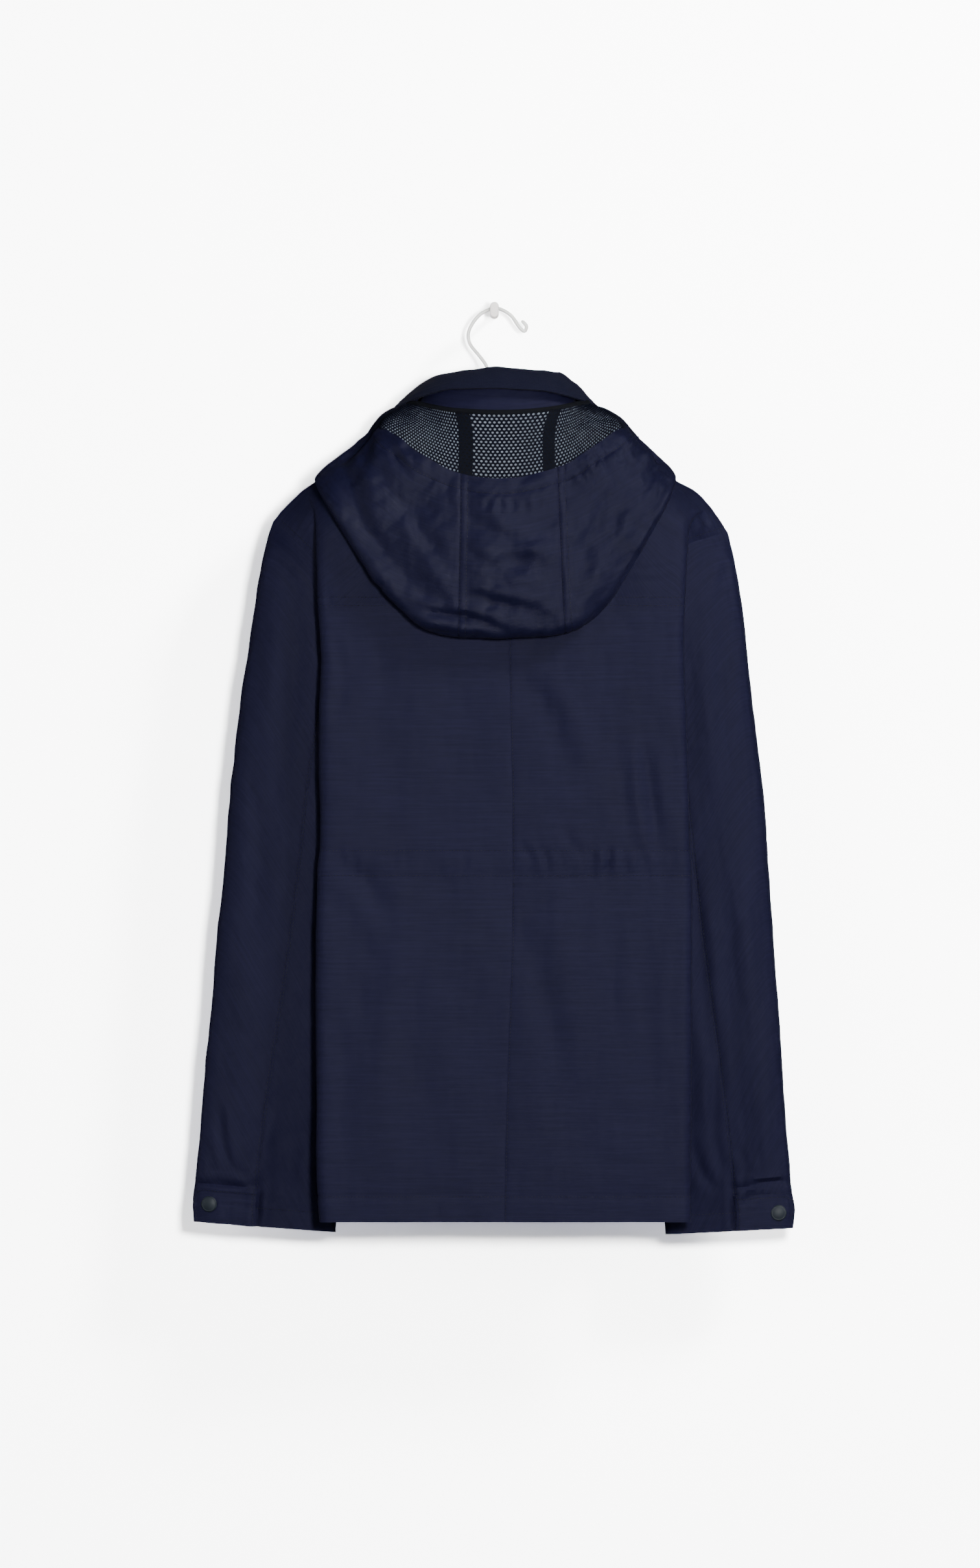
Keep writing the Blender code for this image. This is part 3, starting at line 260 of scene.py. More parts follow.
# Shoulder ridge from the shoulder point in to the neck.
Ridge = namedtuple("Ridge", "x z")
RIDGE_LEFT = [Ridge(*row) for row in (
    (-204.3, -198.0), (-196.6, -188.5), (-188.2, -180.0), (-177.4, -169.8), (-165.0, -161.5),
    (-150.0, -153.0), (-137.0, -145.0), (-120.0, -134.0), (-111.0, -127.5), (-95.0, -112.0), (-76.0, -90.0),
)]

RIDGE_RIGHT = [Ridge(*row) for row in (
    (215.3, -208.2), (209.3, -198.8), (200.4, -186.2), (191.4, -175.8), (181.8, -167.6),
    (168.0, -161.0), (150.0, -150.5), (127.0, -133.5), (110.0, -119.5), (95.0, -104.0), (83.0, -90.0),
)]

# Collar, by the angle round the neck: 0 at the back, -90 left, 90 right, 180 at the front.
Collar = namedtuple("Collar", "psi neck_z top_z edge_z")
COLLAR = [Collar(*row) for row in (
    (-180, -150, -112, -137), (-150, -130, -101, -120), (-120, -103, -84, -95),
    (-90, -90, -71.0, -85.5), (-75, -89, -69.0, -86.5), (-57, -89.5, -66.5, -83.5), (-30, -94.5, -62.5, -76.5),
    (0, -97, -59.5, -75.8), (30, -94.5, -62.0, -78.0), (57, -89.5, -63.2, -84.0), (75, -89, -64.0, -86.5),
    (90, -90, -68.0, -85.5), (120, -103, -84, -95), (150, -130, -101, -120), (180, -150, -112, -137),
)]

TOP_X, TOP_Y, TOP_HALF_WIDTH, TOP_HALF_DEPTH = 1.5, -57.0, 61.0, 25.0
EDGE_HALF_WIDTH, EDGE_HALF_DEPTH = 86.0, 40.0
COLLAR_OPEN = 4.0       # degrees left open each side of the front zip

# Sleeve rings, from the first ring past the armhole down to the cuff.
# bow = how far the ring bends in to the body, warp = how far its back seam moves out.
Ring = namedtuple("Ring", "outer_x outer_z inner_x inner_z mid_y half_depth bow warp")
SLEEVE_LEFT = [Ring(*row) for row in (
    (-210.5, -224.0, -99.0, -437, -60, 23.0, 19.0, 0.00),
    (-216.2, -252.0, -104.0, -446, -60, 23.0, 11.0, 0.00),
    (-222.0, -284.0, -107.0, -458, -60, 23.0, 6.0, 0.00),
    (-227.6, -318.0, -108.0, -473, -60, 23.0, 3.0, 0.00),
    (-233.2, -360.0, -109.0, -491, -60, 22.5, 1.0, 0.00),
    (-238.6, -405.0, -111.0, -514, -60, 22.0, 0.0, 0.00),
    (-243.0, -445.0, -113.0, -540, -60, 21.5, 0.0, 0.00),
    (-248.0, -500.0, -117.0, -575, -60, 21.0, 0.0, 0.02),
    (-252.6, -550.0, -121.0, -612, -60, 20.5, 0.0, 0.05),
    (-256.8, -598.0, -125.0, -650, -60, 19.5, 0.0, 0.10),
    (-260.9, -640.0, -130.0, -690, -60, 18.5, 0.0, 0.15),
    (-265.6, -685.0, -134.0, -727, -60, 17.0, 0.0, 0.20),
    (-270.2, -735.0, -139.0, -764, -59, 15.0, 0.0, 0.25),
    (-274.0, -785.0, -143.0, -800, -58, 12.5, 0.0, 0.30),
    (-276.0, -810.0, -145.0, -821, -57, 11.0, 0.0, 0.32),
    (-278.4, -828.0, -146.5, -839, -57, 10.0, 0.0, 0.32),
    (-277.6, -846.0, -147.8, -856, -57, 9.5, 0.0, 0.32),
)]

SLEEVE_RIGHT = [Ring(*row) for row in (
    (221.4, -232.0, 101.0, -437, -60, 23.0, 19.0, 0.00),
    (226.0, -260.0, 106.0, -446, -60, 23.0, 11.0, 0.00),
    (229.9, -290.0, 109.0, -458, -60, 23.0, 6.0, 0.00),
    (233.4, -323.0, 111.0, -473, -60, 23.0, 3.0, 0.00),
    (237.6, -363.0, 113.0, -491, -60, 22.5, 1.0, 0.00),
    (242.3, -405.0, 116.0, -514, -60, 22.0, 0.0, 0.00),
    (247.0, -447.0, 119.0, -540, -60, 21.5, 0.0, 0.00),
    (251.4, -500.0, 124.0, -575, -60, 21.0, 0.0, 0.00),
    (255.6, -550.0, 129.0, -612, -60, 20.5, 0.0, 0.02),
    (259.3, -598.0, 134.0, -650, -60, 19.5, 0.0, 0.06),
    (262.2, -640.0, 140.0, -690, -60, 18.5, 0.0, 0.10),
    (265.3, -685.0, 145.0, -727, -60, 17.0, 0.0, 0.14),
    (268.7, -735.0, 150.0, -764, -59, 15.0, 0.0, 0.18),
    (272.2, -786.0, 154.5, -802, -58, 12.5, 0.0, 0.22),
    (274.4, -818.0, 157.0, -824, -57, 11.0, 0.0, 0.24),
    (277.2, -833.0, 158.5, -842, -57, 10.0, 0.0, 0.24),
    (275.4, -852.0, 159.8, -858, -57, 9.5, 0.0, 0.24),
)]

# Hood, by column from its left corner to its right: rim = the opening's edge, fold = the outline
# where the crown layer turns back to the layer that lies on the yoke, psi = place on the neck.
Hood = namedtuple("Hood", "rim_x rim_y rim_z fold_x fold_y fold_z half_fold bulge psi")
HOOD = [Hood(*row) for row in (
    (-110.0, -64, -115.5, -116.0, -60, -120.0, 4.0, 1, -97),
    (-104.0, -73, -118.5, -137.0, -66, -133.5, 5.0, 3, -88),
    (-97.5, -75, -121.5, -164.0, -76, -156.5, 5.0, 5, -82),
    (-91.0, -81, -125.0, -163.5, -90, -166.0, 6.0, 7, -76),
    (-84.5, -87, -130.0, -149.0, -107, -192.0, 8.0, 9, -68),
    (-77.5, -94, -135.5, -131.5, -115, -221.0, 9.0, 11, -60),
    (-68.0, -102, -141.0, -110.0, -118, -252.5, 10.0, 13, -51),
    (-57.0, -110, -146.0, -85.0, -121, -280.5, 10.0, 14, -42),
    (-44.0, -118, -151.5, -59.0, -123, -299.8, 10.0, 14, -33),
    (-31.0, -123, -155.5, -33.5, -124, -305.2, 10.0, 14, -24),
    (-10.0, -127, -159.3, -12.0, -125, -306.0, 10.0, 14, -9),
    (12.0, -128, -160.0, 12.0, -125, -306.0, 10.0, 14, 6),
    (34.0, -127, -156.8, 38.0, -125, -305.0, 10.0, 14, 22),
    (57.7, -122, -150.0, 64.3, -124, -301.0, 10.0, 14, 40),
    (68.0, -117, -146.5, 86.0, -122, -291.8, 10.0, 14, 46),
    (79.0, -111, -140.4, 104.0, -120, -275.0, 10.0, 14, 52),
    (88.0, -104, -135.5, 121.0, -117, -249.5, 10.0, 13, 58),
    (97.0, -96, -130.0, 139.0, -114, -218.5, 9.0, 11, 64),
    (106.3, -88, -124.0, 155.0, -106, -188.0, 8.0, 9, 70),
    (113.0, -81, -120.5, 165.5, -90, -164.0, 6.0, 7, 76),
    (119.0, -75, -118.0, 165.5, -77, -154.0, 5.0, 5, 82),
    (124.0, -73, -116.8, 146.0, -66, -133.5, 5.0, 3, 88),
    (127.0, -64, -116.5, 133.0, -60, -121.0, 4.0, 1, 97),
)]

SETTLE_ROUNDS = 12      # passes that lift the hood off the yoke
NAPE_ROW = 9            # first row of the layer that lies on the yoke
HOOD_SEAM_LEFT, HOOD_SEAM_RIGHT = 9, 13     # columns of the hood's two seams
CASING_DEPTH = 15.0                         # the drawcord casing below the rim
NET_FIRST, NET_LAST = 3, 19                 # columns that carry the net
NET_ROWS = 5                                # and its rows, down from the neck

# Wire hanger: hook from the curl down to the twist, and the frame round its triangle.
Wire = namedtuple("Wire", "x y z")
HOOK = [Wire(*row) for row in (
    (25.4, -28, -10.5), (29.6, -28, -15.6), (27.8, -28, -20.4), (22.5, -28, -15.8), (16.4, -28, -6.8),
    (8.6, -28, -1.2), (0.2, -28, 0.9), (-11.2, -28, -3.4), (-19.0, -28, -11.2), (-23.8, -28, -20.4),
    (-23.9, -29, -28.2), (-21.5, -31, -34.3), (-14.3, -37, -43.3), (-7.2, -44, -54.0), (-4.2, -50, -70.0),
    (-4.0, -57, -93.2),
)]

FRAME = [Wire(*row) for row in (
    (-4.0, -57, -95.0), (-40.0, -57.5, -108.0), (-78.0, -58, -121.0), (-111.0, -58, -136.5),
    (-150.0, -58, -157.8), (-172.0, -58, -171.8), (-183.5, -58, -182.8), (-187.0, -58, -194.0),
    (-178.0, -58, -203.5), (-100.0, -58, -205.5), (0.0, -58, -206.5), (100.0, -58, -208.0),
    (187.0, -58, -207.5), (197.0, -58, -199.0), (195.0, -58, -187.8), (186.0, -58, -177.0),
    (172.0, -58, -168.0), (150.0, -58, -155.0), (110.0, -58, -131.0), (78.0, -58, -117.0),
    (36.0, -57.5, -106.5),
)]


def table_value(table, key, at, column):
    """Reads a column of a table between its rows."""
    keys = [getattr(row, key) for row in table]
    values = [getattr(row, column) for row in table]
    return float(np.interp(at, keys, values))


def units(vectors):
    """The vectors along an array's last axis, each at length 1."""
    return vectors / np.maximum(np.linalg.norm(vectors, axis=-1, keepdims=True), 1e-9)


def unit(vector):
    """The vector at length 1."""
    length = np.linalg.norm(vector)
    return vector / length if length > 1e-9 else vector


def spline_span(first, control, last, share):
    """A point of one quadratic span."""
    rest = 1.0 - share
    return rest * rest * first + 2.0 * rest * share * control + share * share * last


def spline(controls, spans):
    """Quadratic spline through the middles of its control polygon.

    spans holds the shares at which each span is read, one tuple for each inner control point."""
    controls = [np.array(c, float) for c in controls]
    middles = [controls[0]]
    for a, b in zip(controls[1:-2], controls[2:-1]):
        middles.append((a + b) / 2.0)
    middles.append(controls[-1])
    points = [controls[0]]
    for index, shares in enumerate(spans):
        for share in shares:
            points.append(spline_span(middles[index], controls[index + 1], middles[index + 1], share))
    return np.array(points)


def even(count):
    return tuple((k + 1) / count for k in range(count))


# ---------------------------------------------------------------- fine surfaces
def span_point(p0, p1, p2, p3, share):
    """Centripetal Catmull-Rom between p1 and p2, for a row of points at once."""
    def knot(before, a, b):
        return before + np.maximum(np.linalg.norm(b - a, axis=1, keepdims=True), 1e-6) ** 0.5
    t0 = np.zeros((len(p1), 1))
    t1 = knot(t0, p0, p1)
    t2 = knot(t1, p1, p2)
    t3 = knot(t2, p2, p3)
    t = t1 + (t2 - t1) * share
    a1 = (t1 - t) / (t1 - t0) * p0 + (t - t0) / (t1 - t0) * p1
    a2 = (t2 - t) / (t2 - t1) * p1 + (t - t1) / (t2 - t1) * p2
    a3 = (t3 - t) / (t3 - t2) * p2 + (t - t2) / (t3 - t2) * p3
    b1 = (t2 - t) / (t2 - t0) * a1 + (t - t0) / (t2 - t0) * a2
    b2 = (t3 - t) / (t3 - t1) * a2 + (t - t1) / (t3 - t1) * a3
    return (t2 - t) / (t2 - t1) * b1 + (t - t1) / (t2 - t1) * b2


def refine_rows(grid, counts, ring=False):
    """More rows between a grid's rows: counts holds the number of steps in each span."""
    rows = []
    total = len(grid)
    for i, count in enumerate(counts):
        p1, p2 = grid[i], grid[(i + 1) % total]
        if ring:
            p0, p3 = grid[i - 1], grid[(i + 2) % total]
        else:
            p0 = grid[i - 1] if i else p1 * 2.0 - p2
            p3 = grid[i + 2] if i + 2 < total else p2 * 2.0 - p1
        for k in range(count):
            rows.append(span_point(p0, p1, p2, p3, k / count) if k else p1)
    rows.append(grid[0] if ring else grid[-1])
    return np.array(rows)


def span_counts(grid, cell, least=1):
    """Steps in each row span, so that the cells come out near the size asked for."""
    chord = np.linalg.norm(grid[1:] - grid[:-1], axis=2)
    return [max(least, int(math.ceil(value / cell))) for value in np.quantile(chord, 0.8, axis=1)]


def turned(grid):
    return grid.transpose(1, 0, 2)


class Surface:
    """A fine grid of points with its normals, and its lengths along rows (across) and columns (down)."""

    def __init__(self, points, sign, row_marks, column_marks):
        self.points = points
        self.sign = sign
        self.row_marks = row_marks
        self.column_marks = column_marks
        self.normals = None

    def measure(self):
        steps = np.linalg.norm(np.diff(self.points, axis=1), axis=2)
        self.across = np.concatenate((np.zeros((len(steps), 1)), np.cumsum(steps, axis=1)), axis=1)
        steps = np.linalg.norm(np.diff(self.points, axis=0), axis=2)
        self.down = np.concatenate((np.zeros((1, steps.shape[1])), np.cumsum(steps, axis=0)), axis=0)

    def raise_by(self, height):
        self.points = self.points + self.normals * height[..., None]


def fine_surface(coarse, rows, columns, sign, ring=False):
    """The coarse grid, with so many steps in each of its row spans and column spans."""
    fine = turned(refine_rows(turned(refine_rows(coarse, rows)), columns, ring))
    return Surface(fine, sign, *([0, *np.cumsum(steps)] for steps in (rows, columns)))


def make_surface(coarse, sign, cell, rows=None, least=1):
    """The coarse grid, with cells near the size asked for."""
    rows = rows or span_counts(coarse, cell, least)
    return fine_surface(coarse, rows, span_counts(turned(coarse), cell, least), sign)


def share_normals(surfaces):
    """Normals at every point, the same where two surfaces meet."""
    points, normals, sizes = [], [], []
    for surface in surfaces:
        grid = surface.points
        across = grid[1:, 1:] - grid[:-1, :-1]
        down = grid[1:, :-1] - grid[:-1, 1:]
        face = units(np.cross(across, down) * surface.sign)
        normal = np.zeros_like(grid)
        normal[:-1, :-1] += face
        normal[:-1, 1:] += face
        normal[1:, :-1] += face
        normal[1:, 1:] += face
        points.append(grid.reshape(-1, 3))
        normals.append(normal.reshape(-1, 3))
        sizes.append(grid.shape)
    keys = np.round(np.concatenate(points), 1).astype(np.float64)
    _, place = np.unique(keys, axis=0, return_inverse=True)
    place = place.reshape(-1)
    total = np.zeros((place.max() + 1, 3))
    np.add.at(total, place, np.concatenate(normals))
    merged = units(total)[place]
    start = 0
    for surface, shape in zip(surfaces, sizes):
        count = shape[0] * shape[1]
        surface.normals = merged[start:start + count].reshape(shape)
        surface.measure()
        start += count


def ease(value, low, high):
    """0 up to low, 1 from high on, and a soft rise between."""
    share = np.clip((value - low) / (high - low), 0.0, 1.0)
    return share * share * (3.0 - 2.0 * share)


# ---------------------------------------------------------------- folds
def path_distance(place, path):
    """Distance of each point from a path in a plane, and its share of the path's length."""
    start, along = path[:-1], path[1:] - path[:-1]
    length = np.linalg.norm(along, axis=1)
    travelled = np.concatenate(([0.0], np.cumsum(length)))
    offset = place[:, None, :] - start[None]
    share = np.clip((offset * along).sum(axis=2) / np.maximum(length ** 2, 1e-9), 0.0, 1.0)
    gap = np.linalg.norm(offset - along[None] * share[..., None], axis=2)
    near = gap.argmin(axis=1)
    rows = np.arange(len(place))
    position = (travelled[near] + share[rows, near] * length[near]) / travelled[-1]
    return gap[rows, near], position


Crease = namedtuple("Crease", "depth width points")


def crease_height(surface, creases, facing):
    """Soft troughs (depth below 0) and ridges drawn on the side that faces -Y (-1) or +Y (+1)."""
    height = np.zeros(surface.points.shape[:2])
    flat = height.reshape(-1)
    place = surface.points[..., (0, 2)].reshape(-1, 2)
    shown = ease(surface.normals[..., 1].reshape(-1) * facing, 0.05, 0.45)
    for crease in creases:
        path = smooth_path(crease.points, step=CREASE_STEP)
        reach = crease.width * 4.0
        low, high = path.min(axis=0) - reach, path.max(axis=0) + reach
        near = np.nonzero(((place > low) & (place < high)).all(axis=1) & (shown > 0.0))[0]
        if not len(near):
            continue
        gap, position = path_distance(place[near], path)
        share = gap / crease.width
        profile = np.exp(-share ** 2) - 0.5 * np.exp(-((share - 1.7) / 1.1) ** 2)
        taper = np.sin(np.pi * np.clip(position, 0.0, 1.0)) ** 0.7
        flat[near] += crease.depth * profile * taper * shown[near]
    return height


def undulation(surface, amount, wave_x, wave_z, seed, waves=7):
    """Slow uneven swell of hung cloth: a few long waves with fixed phases."""
    random = np.random.default_rng(seed)
    x, y, z = (surface.points[..., k] for k in range(3))
    height = np.zeros(x.shape)
    for _ in range(waves):
        kx = random.normal() * 2.0 * math.pi / wave_x
        kz = random.normal() * 2.0 * math.pi / wave_z
        phase = random.uniform(0.0, 2.0 * math.pi)
        height += np.sin(kx * (x + 0.6 * y) + kz * z + phase)
    return height * amount / math.sqrt(waves)


def crumple(surface, amount, pitch, seed, waves=5):
    """Creased cloth: flat facets that meet in soft ridges and troughs."""
    random = np.random.default_rng(seed)
    place = surface.points[..., (0, 2)] + 0.5 * surface.points[..., 1:2]
    height = np.zeros(place.shape[:2])
    for _ in range(waves):
        turn = random.uniform(0.0, math.pi)
        along = place @ np.array((math.cos(turn), math.sin(turn)))
        beside = place @ np.array((-math.sin(turn), math.cos(turn)))
        turns = beside * 2.0 * math.pi / (pitch * random.uniform(1.6, 2.6))
        bend = 0.35 * pitch * np.sin(turns + random.uniform(0.0, 6.28))
        fold = np.abs(np.sin((along + bend) * math.pi / (pitch * random.uniform(0.8, 1.5))))
        patch = 0.5 + 0.5 * np.sin(beside * math.pi / (pitch * 1.3) + random.uniform(0.0, 6.28))
        height += (np.sqrt(fold ** 2 + 0.02) - 0.64) * patch
    return height * amount


def seam_height(distance, position, pucker, pitch, seed, groove=0.5, groove_width=1.3, spread=7.0):
    """A seam's groove with short puckers square to it; distance from it and position along it, in mm."""
    random = np.random.default_rng(seed)
    height = -groove * np.exp(-(distance / groove_width) ** 2)
    drawn = np.zeros_like(distance)
    for octave in (1.0, 1.7, 0.55):
        drawn += np.sin(position * 2.0 * math.pi / (pitch * octave) + random.uniform(0.0, 6.28)) / 2.0
    uneven = 0.6 + 0.4 * np.sin(position * 2.0 * math.pi / (pitch * 6.3) + random.uniform(0.0, 6.28))
    return height + pucker * drawn * uneven * np.exp(-(distance / spread) ** 2)


def neck_point(psi, grow=0.0):
    """A point of the neck seam; psi is 0 at the back's middle and 90 at the right side."""
    turn = math.radians(psi)
    return np.array((NECK_X + (NECK_HALF_WIDTH + grow) * math.sin(turn),
                     NECK_Y - (NECK_HALF_DEPTH + grow) * math.cos(turn),
                     table_value(COLLAR, "psi", psi, "neck_z")))


SIDE_SPANS = (even(3), even(3), even(2), even(3), (0.22, 0.42, 0.60, 0.69, 0.77, 0.84, 0.90, 0.95, 1.0))


def half_level(level, centre_x, centre_y, centre_z, heights):
    """One level of half a panel, from its edge in to the centre line."""
    fold = level.fold_x
    inward = -18.0 if fold > 0 else 18.0
    at_shoulder = level.z > SHOULDER_Z
    shoulder_y = level.fold_out + 3.0 if at_shoulder else (level.fold_out + centre_y) / 2.0
    controls = ((level.edge_x, level.edge_y), (level.valley_x, level.valley_y),
                (level.guide_x, level.guide_y), (fold, level.fold_in), (fold, level.fold_out),
                (fold + inward, shoulder_y), (centre_x, centre_y))
    plan = spline(controls, SIDE_SPANS)
    z = level.z * (1.0 - heights) + centre_z * heights
    return np.column_stack((plan, z))


def half_panel(levels, ridge, first, centres, psi_side, psi_centre, top_z):
    """Half a body panel: the shoulder and neck line, then one row for each level.

    first is the level that spaces the shoulder's columns, the same for back and front."""
    tip = ridge[0]
    neck_x = neck_point(psi_side)[0]
    plan = half_level(first, CENTRE[0].back_x, CENTRE[0].back_y, 0.0, np.zeros(HALF_COLUMNS + 1))
    start, stop = plan[0, 0], plan[SHOULDER_COLUMNS, 0]
    top = []
    ordered = sorted(ridge, key=lambda row: row.x)
    for column in range(SHOULDER_COLUMNS + 1):
        share = (plan[column, 0] - start) / (stop - start)
        x = tip.x + (neck_x - tip.x) * share
        z = float(np.interp(x, [row.x for row in ordered], [row.z for row in ordered]))
        top.append((x, NECK_Y, z))
    for column in range(1, NECK_COLUMNS + 1):
        psi = psi_side + (psi_centre - psi_side) * column / NECK_COLUMNS
        top.append(neck_point(psi))
    top = np.array(top)
    heights = (top[:, 2] - tip.z) / (top_z - tip.z)
    rows = [top]
    for level, (centre_x, centre_y, centre_z) in zip(levels, centres):
        rows.append(half_level(level, centre_x, centre_y, centre_z, heights))
    return np.array(rows)


def front_levels(levels):
    """The front's levels: the back's edge and fold lines, at the front's depths."""
    result = []
    for index, level in enumerate(levels):
        depth = FRONT_DEPTH[min(index, ARMHOLE_ROWS - 1)]
        inward = -1.0 if level.fold_x > 0 else 1.0
        result.append(Level(level.z, level.edge_x, depth.edge_y, level.valley_x, depth.valley_y,
                            level.guide_x, depth.guide_y, level.fold_x + 3.0 * inward,
                            depth.fold_in, depth.fold_out))
    return result


def back_grid():
    """The whole back, from the left armhole to the right one."""
    centres = [(row.back_x, row.back_y, row.back_z) for row in CENTRE]
    left = half_panel(BACK_LEFT, RIDGE_LEFT, BACK_LEFT[0], centres, -90.0, 0.0, neck_point(0.0)[2])
    right = half_panel(BACK_RIGHT, RIDGE_RIGHT, BACK_RIGHT[0], centres, 90.0, 0.0, neck_point(0.0)[2])
    return np.concatenate((left, right[:, -2::-1]), axis=1)


def front_grid():
    """The whole front with the zip's strip in its middle."""
    side = math.degrees(math.asin(ZIP_HALF / NECK_HALF_WIDTH))
    halves = []
    for levels, ridge, turn in ((BACK_LEFT, RIDGE_LEFT, -1.0), (BACK_RIGHT, RIDGE_RIGHT, 1.0)):
        centres = [(ZIP_X + turn * ZIP_HALF, row.front_y, row.front_z) for row in CENTRE]
        end = turn * (180.0 - side)
        halves.append(half_panel(front_levels(levels), ridge, levels[0], centres, turn * 90.0,
                                 end, neck_point(end)[2]))
    left, right = halves
    return np.concatenate((left, right[:, ::-1]), axis=1)


def sleeve_grid(rings, back, front, side):
    """Rings from the armhole's own points to the cuff; columns go by the back to the front."""
    edge = 0 if side < 0 else -1
    first = [back[i, edge] for i in range(ARMHOLE_ROWS + 1)]
    first += [front[i, edge] for i in range(ARMHOLE_ROWS - 1, 0, -1)]
    rows = [np.array(first)]
    for ring in rings:
        outer = np.array((ring.outer_x, ring.outer_z))
        inner = np.array((ring.inner_x, ring.inner_z))
        along = inner - outer
        across = unit(np.array((-along[1], along[0])))
        if across[0] * side > 0:
            across = -across
        points = []
        for j in range(SLEEVE_COLUMNS):
            turn = math.pi * j / ARMHOLE_ROWS
            share = (1.0 - math.cos(turn)) / 2.0
            share -= ring.warp * share * (1.0 - share)
            depth = (1.0 - abs(2.0 * share - 1.0) ** SECTION_POWER) ** (1.0 / SECTION_POWER)
            depth *= ring.half_depth * (-1.0 if j <= ARMHOLE_ROWS else 1.0)
            place = outer + along * share + across * ring.bow * 4.0 * share * (1.0 - share)
            points.append((place[0], ring.mid_y + depth, place[1]))
        rows.append(np.array(points))
    return np.array(rows)


def ellipse_point(centre_x, centre_y, half_width, half_depth, psi, z):
    turn = math.radians(psi)
    return np.array((centre_x + half_width * math.sin(turn), centre_y - half_depth * math.cos(turn), z))


def surface_tree(grid):
    """A search tree of a grid's faces."""
    rows, columns = grid.shape[:2]
    faces = []
    for i in range(rows - 1):
        for j in range(columns - 1):
            a = i * columns + j
            faces.append((a, a + columns, a + columns + 1, a + 1))
    return BVHTree.FromPolygons([Vector(v) for v in grid.reshape(-1, 3)], faces)


def off_surface(tree, point, need):
    """How far a point moves to stand at least the needed distance outside a surface."""
    place, outward, _, _ = tree.find_nearest(Vector(point))
    outward = np.array(outward)
    reach = float(np.dot(point - np.array(place), outward))
    return outward * max(0.0, need - reach)


def settle_on(grid, tree):
    """Lifts the layer that lies on the yoke clear of it, and the crown clear of that layer.

    The middles of the faces are lifted too, so that flat faces don't cut the shoulder."""
    rows, columns = grid.shape[:2]
    for _ in range(SETTLE_ROUNDS):
        lower = grid[NAPE_ROW - 1:]
        even_out = (lower[2:, 1:-1] + lower[:-2, 1:-1] + lower[1:-1, 2:] + lower[1:-1, :-2]) / 4.0
        lower[1:-1, 1:-1] = lower[1:-1, 1:-1] * 0.4 + even_out * 0.6
        for i in range(rows):
            for j in range(columns):
                crown = max(0.0, min(1.0, (NAPE_ROW - i) / 2.0))
                need = YOKE_EASE + crown * max(7.5, 1.6 * HOOD[j].half_fold)
                grid[i, j] += off_surface(tree, grid[i, j], need)
        for i in range(rows - 1):
            for j in range(columns - 1):
                block = grid[i:i + 2, j:j + 2].reshape(-1, 3)
                for middle in ((block[0] + block[3]) / 2.0, (block[1] + block[2]) / 2.0):
                    grid[i:i + 2, j:j + 2] += off_surface(tree, middle, YOKE_EASE - 0.8)


def hood_grid(back):
    """The hood from its rim over the fold and back up to the neck seam."""
    tree = surface_tree(back)
    columns = []
    for row in HOOD:
        rim = np.array((row.rim_x, row.rim_y, row.rim_z))
        fold = np.array((row.fold_x, row.fold_y, row.fold_z))
        neck = neck_point(row.psi, grow=3.4) + np.array((0.0, 0.0, 0.3))
        out = np.array((0.0, -1.0, 0.0))
        upper = rim + (fold - rim) * 0.30 + out * row.bulge * 0.7
        lower = rim + (fold - rim) * 0.74 + out * row.bulge
        front = fold + out * row.half_fold
        behind = fold - out * row.half_fold
        nape = behind + (neck - behind) * 0.5
        crown = spline((rim, upper, lower, front, behind, nape, neck),
                       ((0.3, 0.6, 1.0), even(3), even(2), even(3), (0.17, 0.34, 0.5, 0.65, 0.8, 0.9, 1.0)))
        columns.append(crown)
    grid = np.array(columns).transpose(1, 0, 2)
    # the first row below the rim is the casing's stitch line
    for j in range(grid.shape[1]):
        away = grid[1, j] - grid[0, j]
        depth = min(CASING_DEPTH, 0.85 * np.linalg.norm(away))
        grid[1, j] = grid[0, j] + unit(away) * depth
    settle_on(grid, tree)
    return grid


def catmull(p0, p1, p2, p3, share):
    """A point of the Catmull-Rom curve between p1 and p2."""
    return 0.5 * (2.0 * p1 + (p2 - p0) * share + (2.0 * p0 - 5.0 * p1 + 4.0 * p2 - p3) * share ** 2
                  + (3.0 * p1 - p0 - 3.0 * p2 + p3) * share ** 3)


def smooth_path(points, steps=None, step=None, closed=False):
    """A smooth path through the points: so many steps in each span, or a point every step (mm)."""
    points = np.array(points, float)
    if closed:
        padded = np.concatenate((points[-1:], points, points[:2]))
    else:
        padded = np.concatenate(([points[0] * 2.0 - points[1]], points, [points[-1] * 2.0 - points[-2]]))
    path = []
    for span in zip(padded, padded[1:], padded[2:], padded[3:]):
        count = steps or max(1, int(np.linalg.norm(span[2] - span[1]) / step))
        path += [catmull(*span, k / count) for k in range(count)]
    if not closed:
        path.append(points[-1])
    return np.array(path)


# ---------------------------------------------------------------- meshes
def make_object(name, vertices, faces, materials, face_material=None, uv=None, sharp=40.0):
    mesh = bpy.data.meshes.new(name)
    mesh.from_pydata((np.asarray(vertices) * MM).tolist(), [], [tuple(face) for face in faces])
    for entry in materials:
        mesh.materials.append(entry)
    if face_material is not None:
        mesh.polygons.foreach_set("material_index", np.asarray(face_material, np.int32))
    if uv is not None:
        layer = mesh.uv_layers.new(name="cloth")
        corner = np.zeros(len(mesh.loops), np.int32)
        mesh.loops.foreach_get("vertex_index", corner)
        layer.data.foreach_set("uv", np.asarray(uv, np.float32)[corner].ravel())
    mesh.shade_smooth()
    mesh.set_sharp_from_angle(angle=math.radians(sharp))
    made = bpy.data.objects.new(name, mesh)
    bpy.context.scene.collection.objects.link(made)
    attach(made, "root")
    return made


